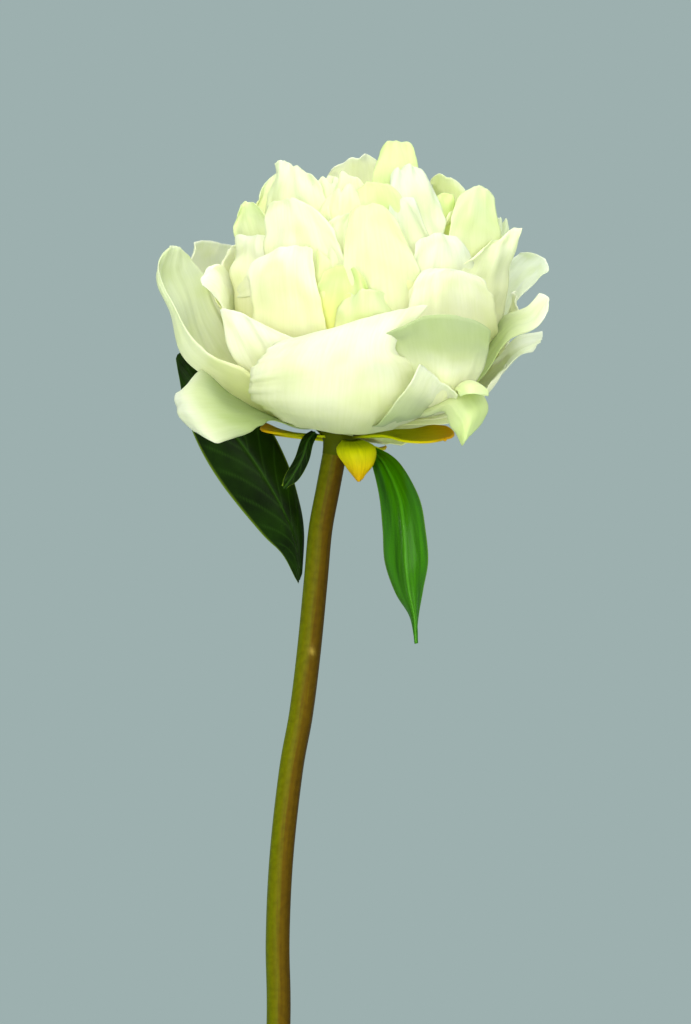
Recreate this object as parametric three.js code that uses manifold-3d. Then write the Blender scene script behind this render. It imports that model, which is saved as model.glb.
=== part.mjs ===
// A white peony standing in a slim bud vase with water.
// Millimetres, +Z up. The origin is the centre of the vase's flat base, and the flower leans to +X.
import * as THREE from 'three';
import { mergeVertices } from 'three/addons/utils/BufferGeometryUtils.js';
import Module from 'manifold-3d';

// Driving dimensions
const GAP = 0.3;              // clearance between neighbouring pieces
const VASE_HEIGHT = 180;
const VASE_BASE = 30;         // radius of the flat base
const VASE_BELLY = 36;
const VASE_NECK = 12.2;
const VASE_LIP = 14.2;
const VASE_WALL = 3.2;
const VASE_FLOOR = 6;
const WATER_LEVEL = 112;
const STEM_RADIUS = 3.6;
const BLOOM_ROOT = new THREE.Vector3(24, 0, 369.7);   // where every petal springs from
const BLOOM_LEAN = THREE.MathUtils.degToRad(10);      // the bloom tips this far toward +X
const PETAL_THICKNESS = 0.8;
const LEAF_THICKNESS = 0.9;
const SUNK_LAYER = 0.6;       // how far in the inner petals start, as a share of the dome's radius
const CORE_FOOT = -2.4;       // heights along the bloom's axis, from its root
const CORE_TOP = 74;
const CALYX_TOP = CORE_FOOT - GAP;
const CALYX_FOOT = -8.5;
const CALYX_RADIUS = 8;
const VASE_SIDES = 36;
const STEM_SIDES = 6;
const STEM_STEPS = 34;
const BLOOM_SIDES = 16;         // of the core and the calyx's cup

// Colours and finishes
const FINISH = {
  glaze: { color: 0xa9b8b2, roughness: 0.25 },
  water: { color: 0xdfeceb, roughness: 0.05 },
  stem: { color: 0x6b5a0c, roughness: 0.5 },
  sepal: { color: 0x9a9a1e, roughness: 0.5 },
  leaf: { color: 0x1f4a0e, roughness: 0.4 },
  petal: { color: 0xfcfbe2, roughness: 0.6 },
};

const wasm = await Module();
wasm.setup();

const BLOOM_AXIS = new THREE.Vector3(Math.sin(BLOOM_LEAN), 0, Math.cos(BLOOM_LEAN));

// A closed geometry as a solid that can be joined and cut
function solid(geometry) {
  const bare = geometry.index ? geometry.clone() : geometry;
  bare.deleteAttribute('normal');
  bare.deleteAttribute('uv');
  const merged = mergeVertices(bare, 1e-4);
  return new wasm.Manifold(new wasm.Mesh({
    numProp: 3,
    vertProperties: Float32Array.from(merged.attributes.position.array),
    triVerts: Uint32Array.from(merged.index.array),
  }));
}

// The main body of a joined solid: sealed hollows are filled and loose scraps dropped
function mainBody(joined) {
  const bodies = joined.decompose();
  bodies.sort((a, b) => b.volume() - a.volume());
  return bodies[0];
}

function meshOf(name, body, finish) {
  const { vertProperties, triVerts } = body.getMesh();
  const geometry = new THREE.BufferGeometry();
  geometry.setAttribute('position', new THREE.BufferAttribute(Float32Array.from(vertProperties), 3));
  geometry.setIndex(new THREE.BufferAttribute(Uint32Array.from(triVerts), 1));
  geometry.computeVertexNormals();
  const material = new THREE.MeshStandardMaterial({ ...FINISH[finish], metalness: 0, flatShading: true });
  const mesh = new THREE.Mesh(geometry, material);
  mesh.name = name;
  return mesh;
}

// The curve through one column of a blade's rows
function column(rows, place) {
  return new THREE.CatmullRomCurve3(rows.map((row) => row[place]), false, 'catmullrom', 0.5);
}

// A thin blade, such as a petal or a leaf. Its rows run from root to tip, and each holds a point on the
// left margin, the midrib and the right margin. The tip's two corners are rounded back by tip[0] and tip[1],
// and the margins wave by wave. Grow makes it that much larger all round. Both faces share one grid, so
// they're split into triangles alike.
function blade(rows, { across, along, thickness, tip = [3, 3], wave = 0, phase = 0, grow = 0 }) {
  const sheet = new THREE.PlaneGeometry(2, 1, across, along);
  const [left, middle, right] = [0, 1, 2].map((place) => column(rows, place));
  const length = middle.getLength();
  const position = sheet.attributes.position;
  const count = position.count;
  const us = [];
  const vs = [];
  for (let i = 0; i < count; i += 1) {
    const u = position.getX(i);
    const v = position.getY(i) + 0.5;
    const corner = THREE.MathUtils.lerp(tip[0], tip[1], THREE.MathUtils.smoothstep(u, -0.25, 0.25));
    const t = v * (1 - (corner / length) * (1 - Math.sqrt(1 - 0.97 * u * u)));
    const l = left.getPoint(t);
    const m = middle.getPoint(t);
    const r = right.getPoint(t);
    const bow = l.clone().add(r).multiplyScalar(0.5).sub(m);
    const point = m.addScaledVector(r.sub(l), u / 2).addScaledVector(bow, u * u);
    position.setXYZ(i, point.x, point.y, point.z);
    us.push(u);
    vs.push(v);
  }
  sheet.computeVertexNormals();
  const normal = sheet.attributes.normal;
  for (let i = 0; i < count; i += 1) {
    const side = us[i] > 0 ? phase : 1.7 * phase + 1;
    const margin = Math.abs(us[i]) ** 3 * vs[i] * Math.sin(9 * vs[i] + side);
    const end = 0.8 * vs[i] ** 5 * Math.sin(4 * us[i] + phase);
    const point = new THREE.Vector3().fromBufferAttribute(position, i);
    point.addScaledVector(new THREE.Vector3().fromBufferAttribute(normal, i), wave * (margin + end));
    position.setXYZ(i, point.x, point.y, point.z);
  }
  if (grow > 0) widen(position, across, along, grow);
  sheet.computeVertexNormals();
  return thicken(sheet, across, along, thickness + 2 * grow);
}

// A sheet's border moved outward, each point away from its neighbour further in
function widen(position, across, along, by) {
  const at = (column, row) => row * (across + 1) + column;
  const push = (edge, inner) => {
    const point = new THREE.Vector3().fromBufferAttribute(position, edge);
    const out = point.clone().sub(new THREE.Vector3().fromBufferAttribute(position, inner)).setLength(by);
    point.add(out);
    position.setXYZ(edge, point.x, point.y, point.z);
  };
  for (let j = 0; j <= along; j += 1) {
    push(at(0, j), at(1, j));
    push(at(across, j), at(across - 1, j));
  }
  for (let i = 0; i <= across; i += 1) {
    push(at(i, 0), at(i, 1));
    push(at(i, along), at(i, along - 1));
  }
}

// A sheet given a thickness: its grid once in front, once behind, and a rim round the border
function thicken(sheet, across, along, thickness) {
  const { position, normal } = sheet.attributes;
  const count = position.count;
  const points = [];
  for (const offset of [thickness / 2, -thickness / 2]) {
    for (let i = 0; i < count; i += 1) {
      const point = new THREE.Vector3().fromBufferAttribute(position, i);
      point.addScaledVector(new THREE.Vector3().fromBufferAttribute(normal, i), offset);
      points.push(point.x, point.y, point.z);
    }
  }
  const index = [...sheet.index.array];
  for (let i = 0; i < sheet.index.count; i += 3) {
    const [a, b, c] = [0, 1, 2].map((k) => sheet.index.array[i + k] + count);
    index.push(c, b, a);
  }
  const at = (column, row) => row * (across + 1) + column;
  const border = [];
  for (let i = 0; i < across; i += 1) border.push(at(i, along));
  for (let j = along; j > 0; j -= 1) border.push(at(across, j));
  for (let i = across; i > 0; i -= 1) border.push(at(i, 0));
  for (let j = 0; j < along; j += 1) border.push(at(0, j));
  border.forEach((a, k) => {
    const b = border[(k + 1) % border.length];
    index.push(b, a, a + count, b, a + count, b + count);
  });
  const geometry = new THREE.BufferGeometry();
  geometry.setAttribute('position', new THREE.Float32BufferAttribute(points, 3));
  geometry.setIndex(index);
  return geometry;
}

// A flat list of nine numbers, three points, as a row of a blade placed from the bloom's root
function row(values) {
  return [0, 3, 6].map((k) => new THREE.Vector3(...values.slice(k, k + 3)).add(BLOOM_ROOT));
}

// The same rows turned about the bloom's leaning axis, for the petals round the back
function turned(rows, degrees) {
  const angle = THREE.MathUtils.degToRad(degrees);
  return rows.map((points) => points.map((point) => point.clone()
    .sub(BLOOM_ROOT)
    .applyAxisAngle(BLOOM_AXIS, angle)
    .add(BLOOM_ROOT)));
}

// Guard petals: rows from root to tip, as x, y, z of the left margin, the midrib and the right margin
// from the bloom's root. The viewer stands at -Y.
const GUARDS = {
  front: { tip: [9, 3], rows: [
    [-4, -4, 0, 0, -7, -1, 3, -4, 0],
    [-15, -24, 0, 1, -32, -3, 14, -24, -2],
    [-24, -40, 6, 2, -52, 1, 25, -38, 4],
    [-26, -47, 13, 3, -59, 12, 23, -48, 15],
    [-22, -48, 20, 4, -59, 22, 16, -56, 22],
    [-13, -49, 25, 7, -55, 30, 28, -51, 36],
  ] },
  front_fold: { tip: [2, 3], rows: [
    [1, -4, -1, 2, -4, -1, 3, -3, 0],
    [7, -34, -1, 13, -24, 0, 18, -18, 1],
    [12, -53, 0, 20, -42, 1, 28, -34, 3],
    [17, -58, 7, 25, -46, 6, 33, -46, 5],
    [24, -59, 18, 29, -53, 12, 35, -52, 9],
  ] },
  front_right: { tip: [0.5, 3], rows: [
    [0, -3, 0, 1, -4, 0, 2, -3, 1],
    [11, -22, 1, 17, -27, 1, 26, -22, 2],
    [19, -38, 5, 28, -43, 4, 36, -36, 5],
    [19, -48, 13, 30, -51, 13, 40, -42, 13],
    [14, -54, 21, 30, -50, 21, 43, -42, 20],
    [13, -56, 26, 28, -58, 32, 43, -48, 29],
  ] },
  right_hanging: { tip: [1, 3], rows: [
    [0, -4, -1, 1, -3, 0, 2, -1, 0],
    [13, -26, 1, 16, -28, 2, 19, -20, 4],
    [25, -42, 2, 28, -45, 5, 31, -34, 8],
    [30, -48, 3, 34, -49, 7, 38, -40, 10],
    [32, -51, -1, 37, -53, 4, 42, -43, 8],
    [34, -52, -4, 38, -55, 0, 43, -45, 4],
    [36, -51, -7, 37, -54, -5, 41, -47, -1],
  ] },
  right_hood: { tip: [1, 2], rows: [
    [31, -39, 8, 35, -38, 10, 40, -36, 9],
    [33, -46, 9, 37, -47, 12, 42, -43, 10],
    [34, -53, 9, 38, -55, 11, 43, -50, 9],
    [35, -56, 7, 38, -59, 8, 43, -54, 7],
  ] },
  right_long: { tip: [4, 2], rows: [
    [0, -4, 0, 1, -2, 0, 2, 0, 1],
    [19, -24, -1, 19, -14, 2, 19, -4, 4],
    [33, -35, 6, 33, -23, 11, 33, -9, 16],
    [43, -37, 15, 43, -25, 21, 41, -11, 26],
    [50, -35, 25, 50, -25, 30, 48, -13, 33],
    [58, -36, 29, 56, -26, 33, 55, -16, 36],
    [62, -33, 35, 61, -25, 38, 58, -17, 39],
  ] },
  right_middle: { tip: [3, 1], rows: [
    [0, -3, 0, 1, -2, 0, 2, 0, 1],
    [19, -18, -2, 20, -12, 0, 20, -4, 2],
    [34, -28, 3, 35, -18, 6, 36, -7, 10],
    [44, -30, 11, 46, -19, 15, 46, -8, 19],
    [52, -25, 19, 53, -17, 22, 53, -8, 26],
    [58, -18, 23, 60, -13, 25, 61, -8, 27],
  ] },
  right_under: { tip: [3, 2], rows: [
    [0, -3, -1, 1, -2, 0, 2, 0, 0],
    [18, -22, 0, 18, -14, 1, 19, -6, 3],
    [31, -35, 2, 32, -24, 5, 33, -11, 8],
    [40, -40, 5, 41, -27, 9, 42, -13, 13],
    [44, -36, 11, 47, -26, 14, 47, -14, 18],
    [47, -30, 15, 50, -23, 18, 51, -15, 21],
  ] },
  right_back: { tip: [3, 3], rows: [
    [1, 0, 0, 1, 3, 0, 2, 5, 1],
    [18, 6, 0, 19, 15, 3, 19, 24, 7],
    [35, 10, 9, 35, 25, 14, 34, 38, 19],
    [47, 12, 24, 46, 29, 29, 43, 44, 35],
    [55, 14, 37, 54, 30, 42, 49, 45, 47],
    [61, 15, 42, 59, 30, 49, 53, 42, 52],
    [64, 17, 47, 62, 29, 52, 56, 39, 54],
  ] },
  left_trough: { tip: [3, 3], rows: [
    [-2, -5, 0, -2, -1, 0, -1, 3, 0],
    [-16, -28, 4, -16, -13, 1, -14, 4, 6],
    [-27, -38, 15, -30, -18, 6, -26, 4, 18],
    [-36, -35, 19, -40, -15, 15, -33, 6, 27],
    [-43, -29, 24, -46, -12, 23, -37, 7, 35],
    [-48, -22, 32, -49, -8, 35, -40, 8, 43],
    [-52, -16, 40, -53, -5, 45, -43, 7, 48],
    [-54, -10, 48, -51, -2, 54, -46, 5, 52],
  ] },
  front_left: { tip: [2, 6], rows: [
    [-2, -5, 0, -1, -6, 0, 0, -6, 0],
    [-12, -16, 2, -8, -20, 0, -4, -22, 0],
    [-23, -28, 8, -15, -34, 6, -5, -38, 6],
    [-30, -34, 18, -21, -40, 17, -7, -46, 16],
    [-34, -36, 27, -25, -41, 25, -10, -46, 22],
    [-35, -35, 34, -29, -40, 32, -14, -45, 25],
  ] },
  left_curl: { tip: [1, 2], rows: [
    [-2, -2, 0, -2, -1, 0, -1, 0, 1],
    [-16, -19, 3, -15, -12, 5, -14, -4, 8],
    [-28, -30, 15, -26, -18, 17, -25, -6, 21],
    [-33, -33, 25, -31, -20, 29, -28, -8, 32],
    [-34, -33, 34, -32, -22, 39, -30, -10, 40],
    [-37, -36, 38, -36, -26, 46, -33, -14, 45],
    [-41, -39, 40, -40, -33, 44, -38, -22, 46],
  ] },
  left_back: { tip: [3, 2], rows: [
    [-1, 4, 0, -1, 6, 1, 0, 8, 1],
    [-16, 6, 3, -15, 17, 7, -12, 27, 10],
    [-32, 8, 17, -30, 25, 22, -26, 39, 27],
    [-40, 8, 33, -38, 27, 38, -32, 43, 42],
    [-44, 9, 47, -42, 27, 50, -33, 45, 52],
    [-44, 14, 55, -41, 28, 57, -32, 44, 56],
  ] },
  left_hanging: { tip: [2, 2], rows: [
    [-2, -5, -1, -2, -1, 0, -1, 3, 0],
    [-12, -26, -1, -12, -14, -1, -12, 0, 2],
    [-20, -36, 1, -22, -31, 3, -23, -5, 7],
    [-23, -44, -1, -30, -46, 4, -32, -11, 14],
    [-29, -50, -4, -37, -51, 6, -38, -17, 16],
    [-36, -57, -6, -44, -47, 6, -41, -23, 16],
    [-44, -51, -2, -48, -42, 5, -45, -31, 11],
  ] },
};

// Guard petals round the back: a petal of the front and how far it is turned
const BACK_GUARDS = [
  ['front_left', 175],
  ['front', 178],
  ['front_right', 190],
  ['left_trough', -88],
  ['right_middle', 75],
  ['front_left', 215],
];

// The dome that the inner petals lie on: height along the bloom's axis and radius
const DOME = [
  [-4, 2], [2, 16], [8, 29], [15, 38], [25, 43], [40, 45.5], [52, 44.5],
  [60, 42], [67, 38], [73, 32.5], [78, 25.5], [82, 18], [85, 11], [90, 4],
];

function domeRadius(height) {
  const next = DOME.findIndex(([h]) => h > height);
  if (next === 0) return DOME[0][1];
  if (next < 0) return DOME[DOME.length - 1][1];
  const [h0, r0] = DOME[next - 1];
  const [h1, r1] = DOME[next];
  return THREE.MathUtils.mapLinear(height, h0, h1, r0, r1);
}

// A point of the front elevation laid on the dome. Layer 1 is the outside, a smaller layer lies further
// in, and a negative one on the far side.
function onDome(x, z, layer) {
  const across = x * Math.cos(BLOOM_LEAN) - z * Math.sin(BLOOM_LEAN);
  const height = x * Math.sin(BLOOM_LEAN) + z * Math.cos(BLOOM_LEAN);
  const radius = domeRadius(height) * Math.abs(layer);
  const depth = Math.sqrt(Math.max((0.3 * radius) ** 2, radius ** 2 - across ** 2));
  return new THREE.Vector3(x, -Math.sign(layer) * depth, z).add(BLOOM_ROOT);
}

// Inner petals: rows from the shoulder to the tip, as x, z of the left margin, the midrib and the right margin
const INNERS = {
  left_low: { layer: 0.97, rows: [
    [-29, 26, -24, 25, -17, 23], [-31, 40, -25, 39, -17, 37], [-31, 49, -26, 49, -17, 47],
    [-31, 54, -27, 56, -21, 53]] },
  left_big: { layer: 1.04, rows: [
    [-23, 22, -16, 20, -6, 21], [-25, 34, -16, 32, -5, 33], [-24, 44, -16, 43, -5, 41],
    [-21, 50, -14, 53, -8, 50]] },
  left_spoon: { layer: 0.95, rows: [
    [-19, 36, -11, 33, -2, 33], [-21, 50, -12, 47, -1, 45], [-20, 58, -13, 57, -5, 55],
    [-17, 64, -14, 66, -10, 63]] },
  left_fringe: { layer: 0.865, rows: [
    [-21, 47, -12, 44, -4, 45], [-22, 60, -14, 59, -6, 57], [-21, 70, -14, 69, -7, 68],
    [-18, 77, -14, 79, -10, 75]] },
  left_edge: { layer: 0.825, rows: [
    [-28, 48, -23, 47, -16, 47], [-27, 60, -22, 60, -16, 59], [-25, 67, -21, 68, -17, 69],
    [-21, 71, -19, 75, -17, 76]] },
  left_green: { layer: 0.915, rows: [
    [-30, 42, -25, 41, -18, 41], [-31, 54, -26, 54, -20, 52], [-31, 61, -27, 62, -23, 60],
    [-29, 64, -27, 66, -24, 64]] },
  centre_left: { layer: 0.915, rows: [
    [-3, 34, 2, 33, 8, 34], [-3, 46, 2, 46, 8, 46], [-5, 55, -1, 55, 5, 54], [-3, 60, 0, 63, 4, 62]] },
  centre_big: { layer: 0.975, rows: [
    [2, 27, 10, 25, 20, 27], [1, 40, 10, 39, 20, 39], [0, 50, 9, 50, 18, 49], [3, 59, 10, 58, 17, 56],
    [6, 62, 10, 65, 14, 63]] },
  centre_green: { layer: 1.01, rows: [
    [-6, 24, 0, 22, 6, 24], [-6, 34, 1, 33, 7, 34], [-5, 40, 2, 40, 6, 40], [-2, 44, 1, 46, 4, 44]] },
  centre_lobe: { layer: 1.05, rows: [
    [1, 23, 8, 21, 15, 22], [1, 31, 8, 30, 15, 30], [2, 36, 8, 39, 13, 36]] },
  centre_right: { layer: 0.93, rows: [
    [16, 26, 21, 25, 26, 26], [17, 37, 22, 37, 26, 37], [18, 44, 21, 49, 25, 50]] },
  right_front: { layer: 0.99, rows: [
    [23, 29, 30, 27, 38, 30], [23, 42, 30, 41, 38, 42], [24, 50, 30, 51, 36, 50],
    [26, 54, 29, 56, 33, 55]] },
  right_low: { layer: 1.04, rows: [
    [21, 21, 32, 20, 43, 23], [22, 33, 32, 33, 43, 34], [24, 41, 32, 41, 41, 39],
    [27, 44, 33, 45, 39, 43]] },
  right_side: { layer: 0.945, rows: [
    [33, 30, 40, 29, 48, 33], [33, 42, 41, 42, 48, 43], [34, 50, 40, 54, 45, 52]] },
  right_white: { layer: 0.89, rows: [
    [17, 36, 23, 35, 29, 37], [17, 48, 23, 48, 29, 49], [16, 58, 21, 59, 27, 58],
    [15, 64, 19, 67, 23, 65]] },
  top_white: { layer: 0.84, rows: [
    [18, 45, 24, 44, 30, 46], [17, 57, 23, 57, 30, 56], [16, 67, 22, 68, 30, 65],
    [17, 73, 20, 77, 26, 74]] },
  middle_green: { layer: 0.865, rows: [
    [5, 47, 11, 46, 18, 48], [4, 59, 11, 59, 17, 59], [6, 67, 10, 71, 15, 69]] },
  middle_left: { layer: 0.88, rows: [
    [-4, 47, 1, 46, 6, 47], [-5, 58, 0, 59, 6, 59], [-3, 64, 1, 69, 5, 66]] },
  middle: { layer: 0.835, rows: [
    [1, 47, 6, 46, 11, 48], [1, 59, 6, 60, 11, 59], [3, 65, 5, 68, 9, 65]] },
  middle_high: { layer: 0.78, rows: [
    [-3, 53, 2, 52, 7, 52], [-4, 65, 1, 65, 6, 65], [-2, 72, 1, 75, 4, 73]] },
  left_high: { layer: 0.815, rows: [
    [-8, 48, -4, 48, 0, 49], [-8, 61, -4, 61, 0, 61], [-7, 69, -5, 73, -1, 74]] },
  crown: { layer: 0.62, rows: [
    [10, 53, 16, 51, 24, 53], [10, 65, 17, 65, 24, 66], [11, 75, 18, 75, 24, 76],
    [14, 81, 19, 86, 22, 83]] },
  right_shaded: { layer: 0.76, rows: [
    [29, 50, 33, 49, 37, 50], [29, 61, 32, 62, 36, 62], [30, 67, 32, 69, 35, 67]] },
  right_round: { layer: 0.905, rows: [
    [32, 40, 40, 39, 48, 43], [31, 54, 39, 53, 48, 54], [33, 62, 40, 62, 47, 62],
    [36, 67, 41, 71, 44, 68]] },
  right_point: { layer: 1, rows: [
    [41, 25, 44, 24, 48, 28], [42, 36, 47, 35, 51, 38], [43, 46, 48, 46, 53, 46],
    [47, 53, 51, 53, 54, 54], [52, 57, 54, 59, 55, 57]] },
  back_crown: { layer: -0.45, rows: [
    [-1, 59, 5, 60, 12, 60], [-2, 74, 5, 74, 12, 74], [0, 78, 5, 81, 11, 80]] },
  back_strip: { layer: -0.7, rows: [
    [25, 57, 31, 57, 37, 57], [26, 68, 32, 68, 39, 67], [27, 74, 32, 75, 37, 72]] },
  right_frayed: { layer: -0.9, rows: [
    [43, 46, 46, 46, 49, 47], [44, 56, 48, 56, 51, 56], [46, 62, 49, 64, 51, 62]] },
};

// Inner petals round the back: a petal of the front, how far it is turned and how far it is drawn in
const BACK_INNERS = [
  ['left_big', 128, 1], ['right_low', 84, 0.95], ['left_big', 184, 1], ['right_low', 140, 0.95],
  ['left_big', 240, 1], ['right_low', 196, 0.95], ['left_big', 292, 0.86],
  ['left_spoon', 112, 0.86], ['centre_big', 112, 0.94], ['left_spoon', 180, 0.91], ['centre_big', 172, 0.94],
  ['left_spoon', 240, 0.91], ['centre_big', 232, 0.94],
  ['left_fringe', 165, 0.93], ['top_white', 115, 0.97], ['left_fringe', 235, 0.93], ['middle_green', 215, 0.92],
  ['middle_green', 78, 0.85], ['middle_high', 160, 1], ['middle_high', 240, 1],
];

// An inner petal starts sunk in the core, below its shoulder
function innerRows({ layer: ownLayer, rows }, draw = 1) {
  const layer = ownLayer * draw;
  const shoulder = rows[0];
  const middle = shoulder[2];
  const sunk = [0, 2, 4].map((k) => {
    const x = middle + 0.5 * (shoulder[k] - middle);
    return onDome(0.85 * x, shoulder[k + 1] - 6, SUNK_LAYER * layer);
  });
  const above = rows.map((values) => [0, 2, 4].map((k) => onDome(values[k], values[k + 1], layer)));
  return [sunk, ...above];
}

function petals(grow) {
  const thickness = PETAL_THICKNESS;
  const list = [];
  const addGuard = (name, degrees) => {
    const { rows, tip } = GUARDS[name];
    const [across, along] = degrees || rows.length < 5 ? [4, 4] : [4, 6];
    const shape = { across, along, thickness, tip, wave: 0.6, phase: 2.4 * list.length, grow };
    list.push(solid(blade(turned(rows.map(row), degrees), shape)));
  };
  const addInner = (name, degrees, draw) => {
    const along = degrees ? 3 : 4;
    const shape = { across: 3, along, thickness, wave: 0.4, phase: 2.4 * list.length, grow };
    list.push(solid(blade(turned(innerRows(INNERS[name], draw), degrees), shape)));
  };
  Object.keys(GUARDS).forEach((name) => addGuard(name, 0));
  BACK_GUARDS.forEach(([name, degrees]) => addGuard(name, degrees));
  Object.keys(INNERS).forEach((name) => addInner(name, 0));
  BACK_INNERS.forEach(([name, degrees, draw]) => addInner(name, degrees, draw));
  return list;
}

// A lathe about the bloom's leaning axis, its profile in radius and height from the root
function lathedOnBloom(profile) {
  const geometry = new THREE.LatheGeometry(profile.map(([r, h]) => new THREE.Vector2(r, h)), BLOOM_SIDES);
  geometry.rotateX(Math.PI / 2);
  geometry.rotateY(BLOOM_LEAN);
  geometry.translate(BLOOM_ROOT.x, BLOOM_ROOT.y, BLOOM_ROOT.z);
  return geometry;
}

// The bloom: a small core with every petal standing out of it. Grow makes them that much larger all round.
function bloom(grow = 0) {
  const side = [
    [12, CORE_FOOT], [18, -0.5], [25, 6], [30, 13], [34, 24], [35, 40], [33, 53], [26, 64], [15, 71],
  ].map(([r, h]) => [r + grow, h - grow]);
  const core = solid(lathedOnBloom([[0, CORE_FOOT - grow], ...side, [0, CORE_TOP]]));
  return petals(grow).reduce((whole, petal) => whole.add(petal), core);
}

// Sepals: rows from root to tip, as x, y, z from the bloom's root
const SEPALS = {
  front: [
    [1, -5, -4.5, 3.5, -6, -5, 6, -5, -4.5],
    [-0.5, -13, -7.5, 4.5, -18, -7.5, 10, -14, -7],
    [1.4, -16, -11.5, 5.5, -19, -12, 9.6, -16, -11.5],
    [4.6, -16, -15.5, 5.6, -17, -17, 6.6, -16, -15.5],
  ],
  right: [
    [3.5, -5, -3.8, 4, 0, -3.6, 4, 5, -3],
    [12.5, -20, -3.6, 13.5, -8, -3.6, 13.5, 4, -2],
    [19, -27, -5.4, 22, -13, -4.2, 21.5, 2, -1.5],
    [27, -27, -5.8, 29, -15, -3.8, 27.5, -2, -0.5],
    [31.5, -22, -4.6, 34, -16, -3, 32.5, -8, -1],
  ],
  left: [
    [-3.5, -3, -3.6, -4, 0, -3.4, -3.5, 4, -3.2],
    [-11, -5, -3, -11.5, 0, -2.8, -11, 6, -2.6],
    [-17.5, -21, -2.6, -18, -11, -2.2, -17, 0, -1.5],
    [-23, -25, -1.5, -23.5, -17, -1, -22, -8, 0.5],
  ],
};
const BACK_SEPALS = [['left', -95], ['left', -150]];

// The calyx: a small cup under the bloom with five sepals, kept clear of the petals
function calyx() {
  const cup = solid(lathedOnBloom([
    [0, CALYX_FOOT], [STEM_RADIUS, CALYX_FOOT], [4.1, -5.6], [5, -4.2], [CALYX_RADIUS, CALYX_TOP - 0.6],
    [CALYX_RADIUS - 0.6, CALYX_TOP], [0, CALYX_TOP],
  ]));
  const shape = { across: 4, along: 5, thickness: LEAF_THICKNESS, tip: [1, 1], wave: 0.3 };
  const sepal = (name, degrees) => solid(blade(turned(SEPALS[name].map(row), degrees), shape));
  const parts = [
    ...Object.keys(SEPALS).map((name) => sepal(name, 0)),
    ...BACK_SEPALS.map(([name, degrees]) => sepal(name, degrees)),
  ];
  const joined = parts.reduce((whole, part) => whole.add(part), cup);
  return mainBody(joined.subtract(bloom(GAP)));
}

// Leaves: rows from the foot to the tip, as x, y, z from the bloom's root
const LEAVES = {
  leaf_left: [
    [-12.5, -1, -47.5, -12, 0, -46, -11.5, 1, -44.5],
    [-17, 5, -39, -13, 2, -36, -11, 5, -32],
    [-23.5, 9, -32.5, -17, 5, -25.5, -12.5, 9, -22.5],
    [-34, 13, -19.5, -25, 8, -12, -16.5, 13, -10.5],
    [-41.5, 15, -7.5, -33.5, 10, -0.5, -23.5, 15, 2],
    [-46.5, 15, 4, -41, 11, 9, -33.5, 15, 11],
    [-48.5, 13, 14.5, -46, 12, 17, -42.5, 14, 17],
    [-49.5, 12, 20.5, -48.5, 12, 22, -47, 12, 21],
  ],
  leaf_right: [
    [5.4, -0.5, -7.6, 5.6, -1.5, -6.8, 6.2, -2.5, -6],
    [8.5, -2, -9, 9.5, -4, -8, 11, -5, -7],
    [10, -8, -12.5, 13.5, -12, -12, 17.5, -10, -11.5],
    [12, -14, -21.5, 17.5, -19, -21.5, 23, -15, -21.5],
    [13, -18, -31.5, 19, -24, -31.5, 25, -19, -31],
    [13.5, -20, -41, 19.5, -26, -41, 26, -21, -40.5],
    [16.5, -21, -50, 20.5, -25, -49.5, 24.5, -21, -49],
    [20.5, -22, -57, 22, -24, -57, 23.5, -22, -56.5],
    [22, -23, -64, 22.5, -24, -64.5, 23, -23, -64],
  ],
  leaf_small: [
    [-8.5, -5.5, -2, -7.6, -6, -2.4, -6.8, -5.5, -3],
    [-11, -8, -4, -9.6, -9.2, -5, -8.2, -8, -6],
    [-13, -9, -9.5, -11.2, -10.2, -10, -9.4, -9, -11],
    [-15.8, -9, -15, -14.2, -10, -15.5, -12.6, -9, -16.5],
    [-17.2, -9, -18.6, -16.7, -9, -19, -16.2, -9, -18.8],
  ],
};

function leaf(name) {
  const shape = { across: 4, along: 9, thickness: LEAF_THICKNESS, tip: [0.5, 0.5], wave: 0.5, phase: 1 };
  return solid(blade(LEAVES[name].map(row), shape));
}

// The stem's centre line from its cut end in the vase to the calyx, as x and z
const STEM_PATH = [
  [-3, VASE_FLOOR + 0.5], [0, 80], [3.6, 140], [5.6, 190], [5.4, 215], [6.5, 240], [9.3, 266],
  [12.3, 283], [14.7, 302], [16.8, 323], [18.2, 338], [20.4, 350],
];
const STEM_SCAR = { x: 16.4, y: -1.2, z: 302, size: 4.2 };

function stemPath(below = 0) {
  const top = BLOOM_ROOT.clone().addScaledVector(BLOOM_AXIS, CALYX_FOOT - GAP);
  const points = STEM_PATH.map(([x, z]) => new THREE.Vector3(x, 0, z));
  points[0].z -= below;
  return new THREE.CatmullRomCurve3([...points, top], false, 'centripetal');
}

function tube(path, radius) {
  const round = new THREE.Shape().absarc(0, 0, radius, 0, 2 * Math.PI);
  const options = { steps: STEM_STEPS, curveSegments: STEM_SIDES, extrudePath: path };
  return solid(new THREE.ExtrudeGeometry(round, options));
}

// The stem, with the scar of a shed leaf
function stem() {
  const scar = new THREE.SphereGeometry(STEM_SCAR.size, 12, 8);
  scar.scale(0.75, 0.8, 1.2);
  scar.translate(STEM_SCAR.x, STEM_SCAR.y, STEM_SCAR.z);
  return mainBody(tube(stemPath(), STEM_RADIUS).add(solid(scar)));
}

// The vase's outer side, from foot to lip, and the same line set in by the wall
const SIDE = new THREE.SplineCurve([
  [VASE_BASE, 1.5], [VASE_BELLY - 2, 22], [VASE_BELLY, 46], [VASE_BELLY - 8, 84], [18, 116],
  [VASE_NECK + 0.8, 142], [VASE_NECK, 160], [VASE_LIP, VASE_HEIGHT - 1],
].map(([r, z]) => new THREE.Vector2(r, z)));
const SIDE_STEPS = 12;

function lathed(profile) {
  const geometry = new THREE.LatheGeometry(profile.map(([r, z]) => new THREE.Vector2(r, z)), VASE_SIDES);
  geometry.rotateX(Math.PI / 2);
  return solid(geometry);
}

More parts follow.
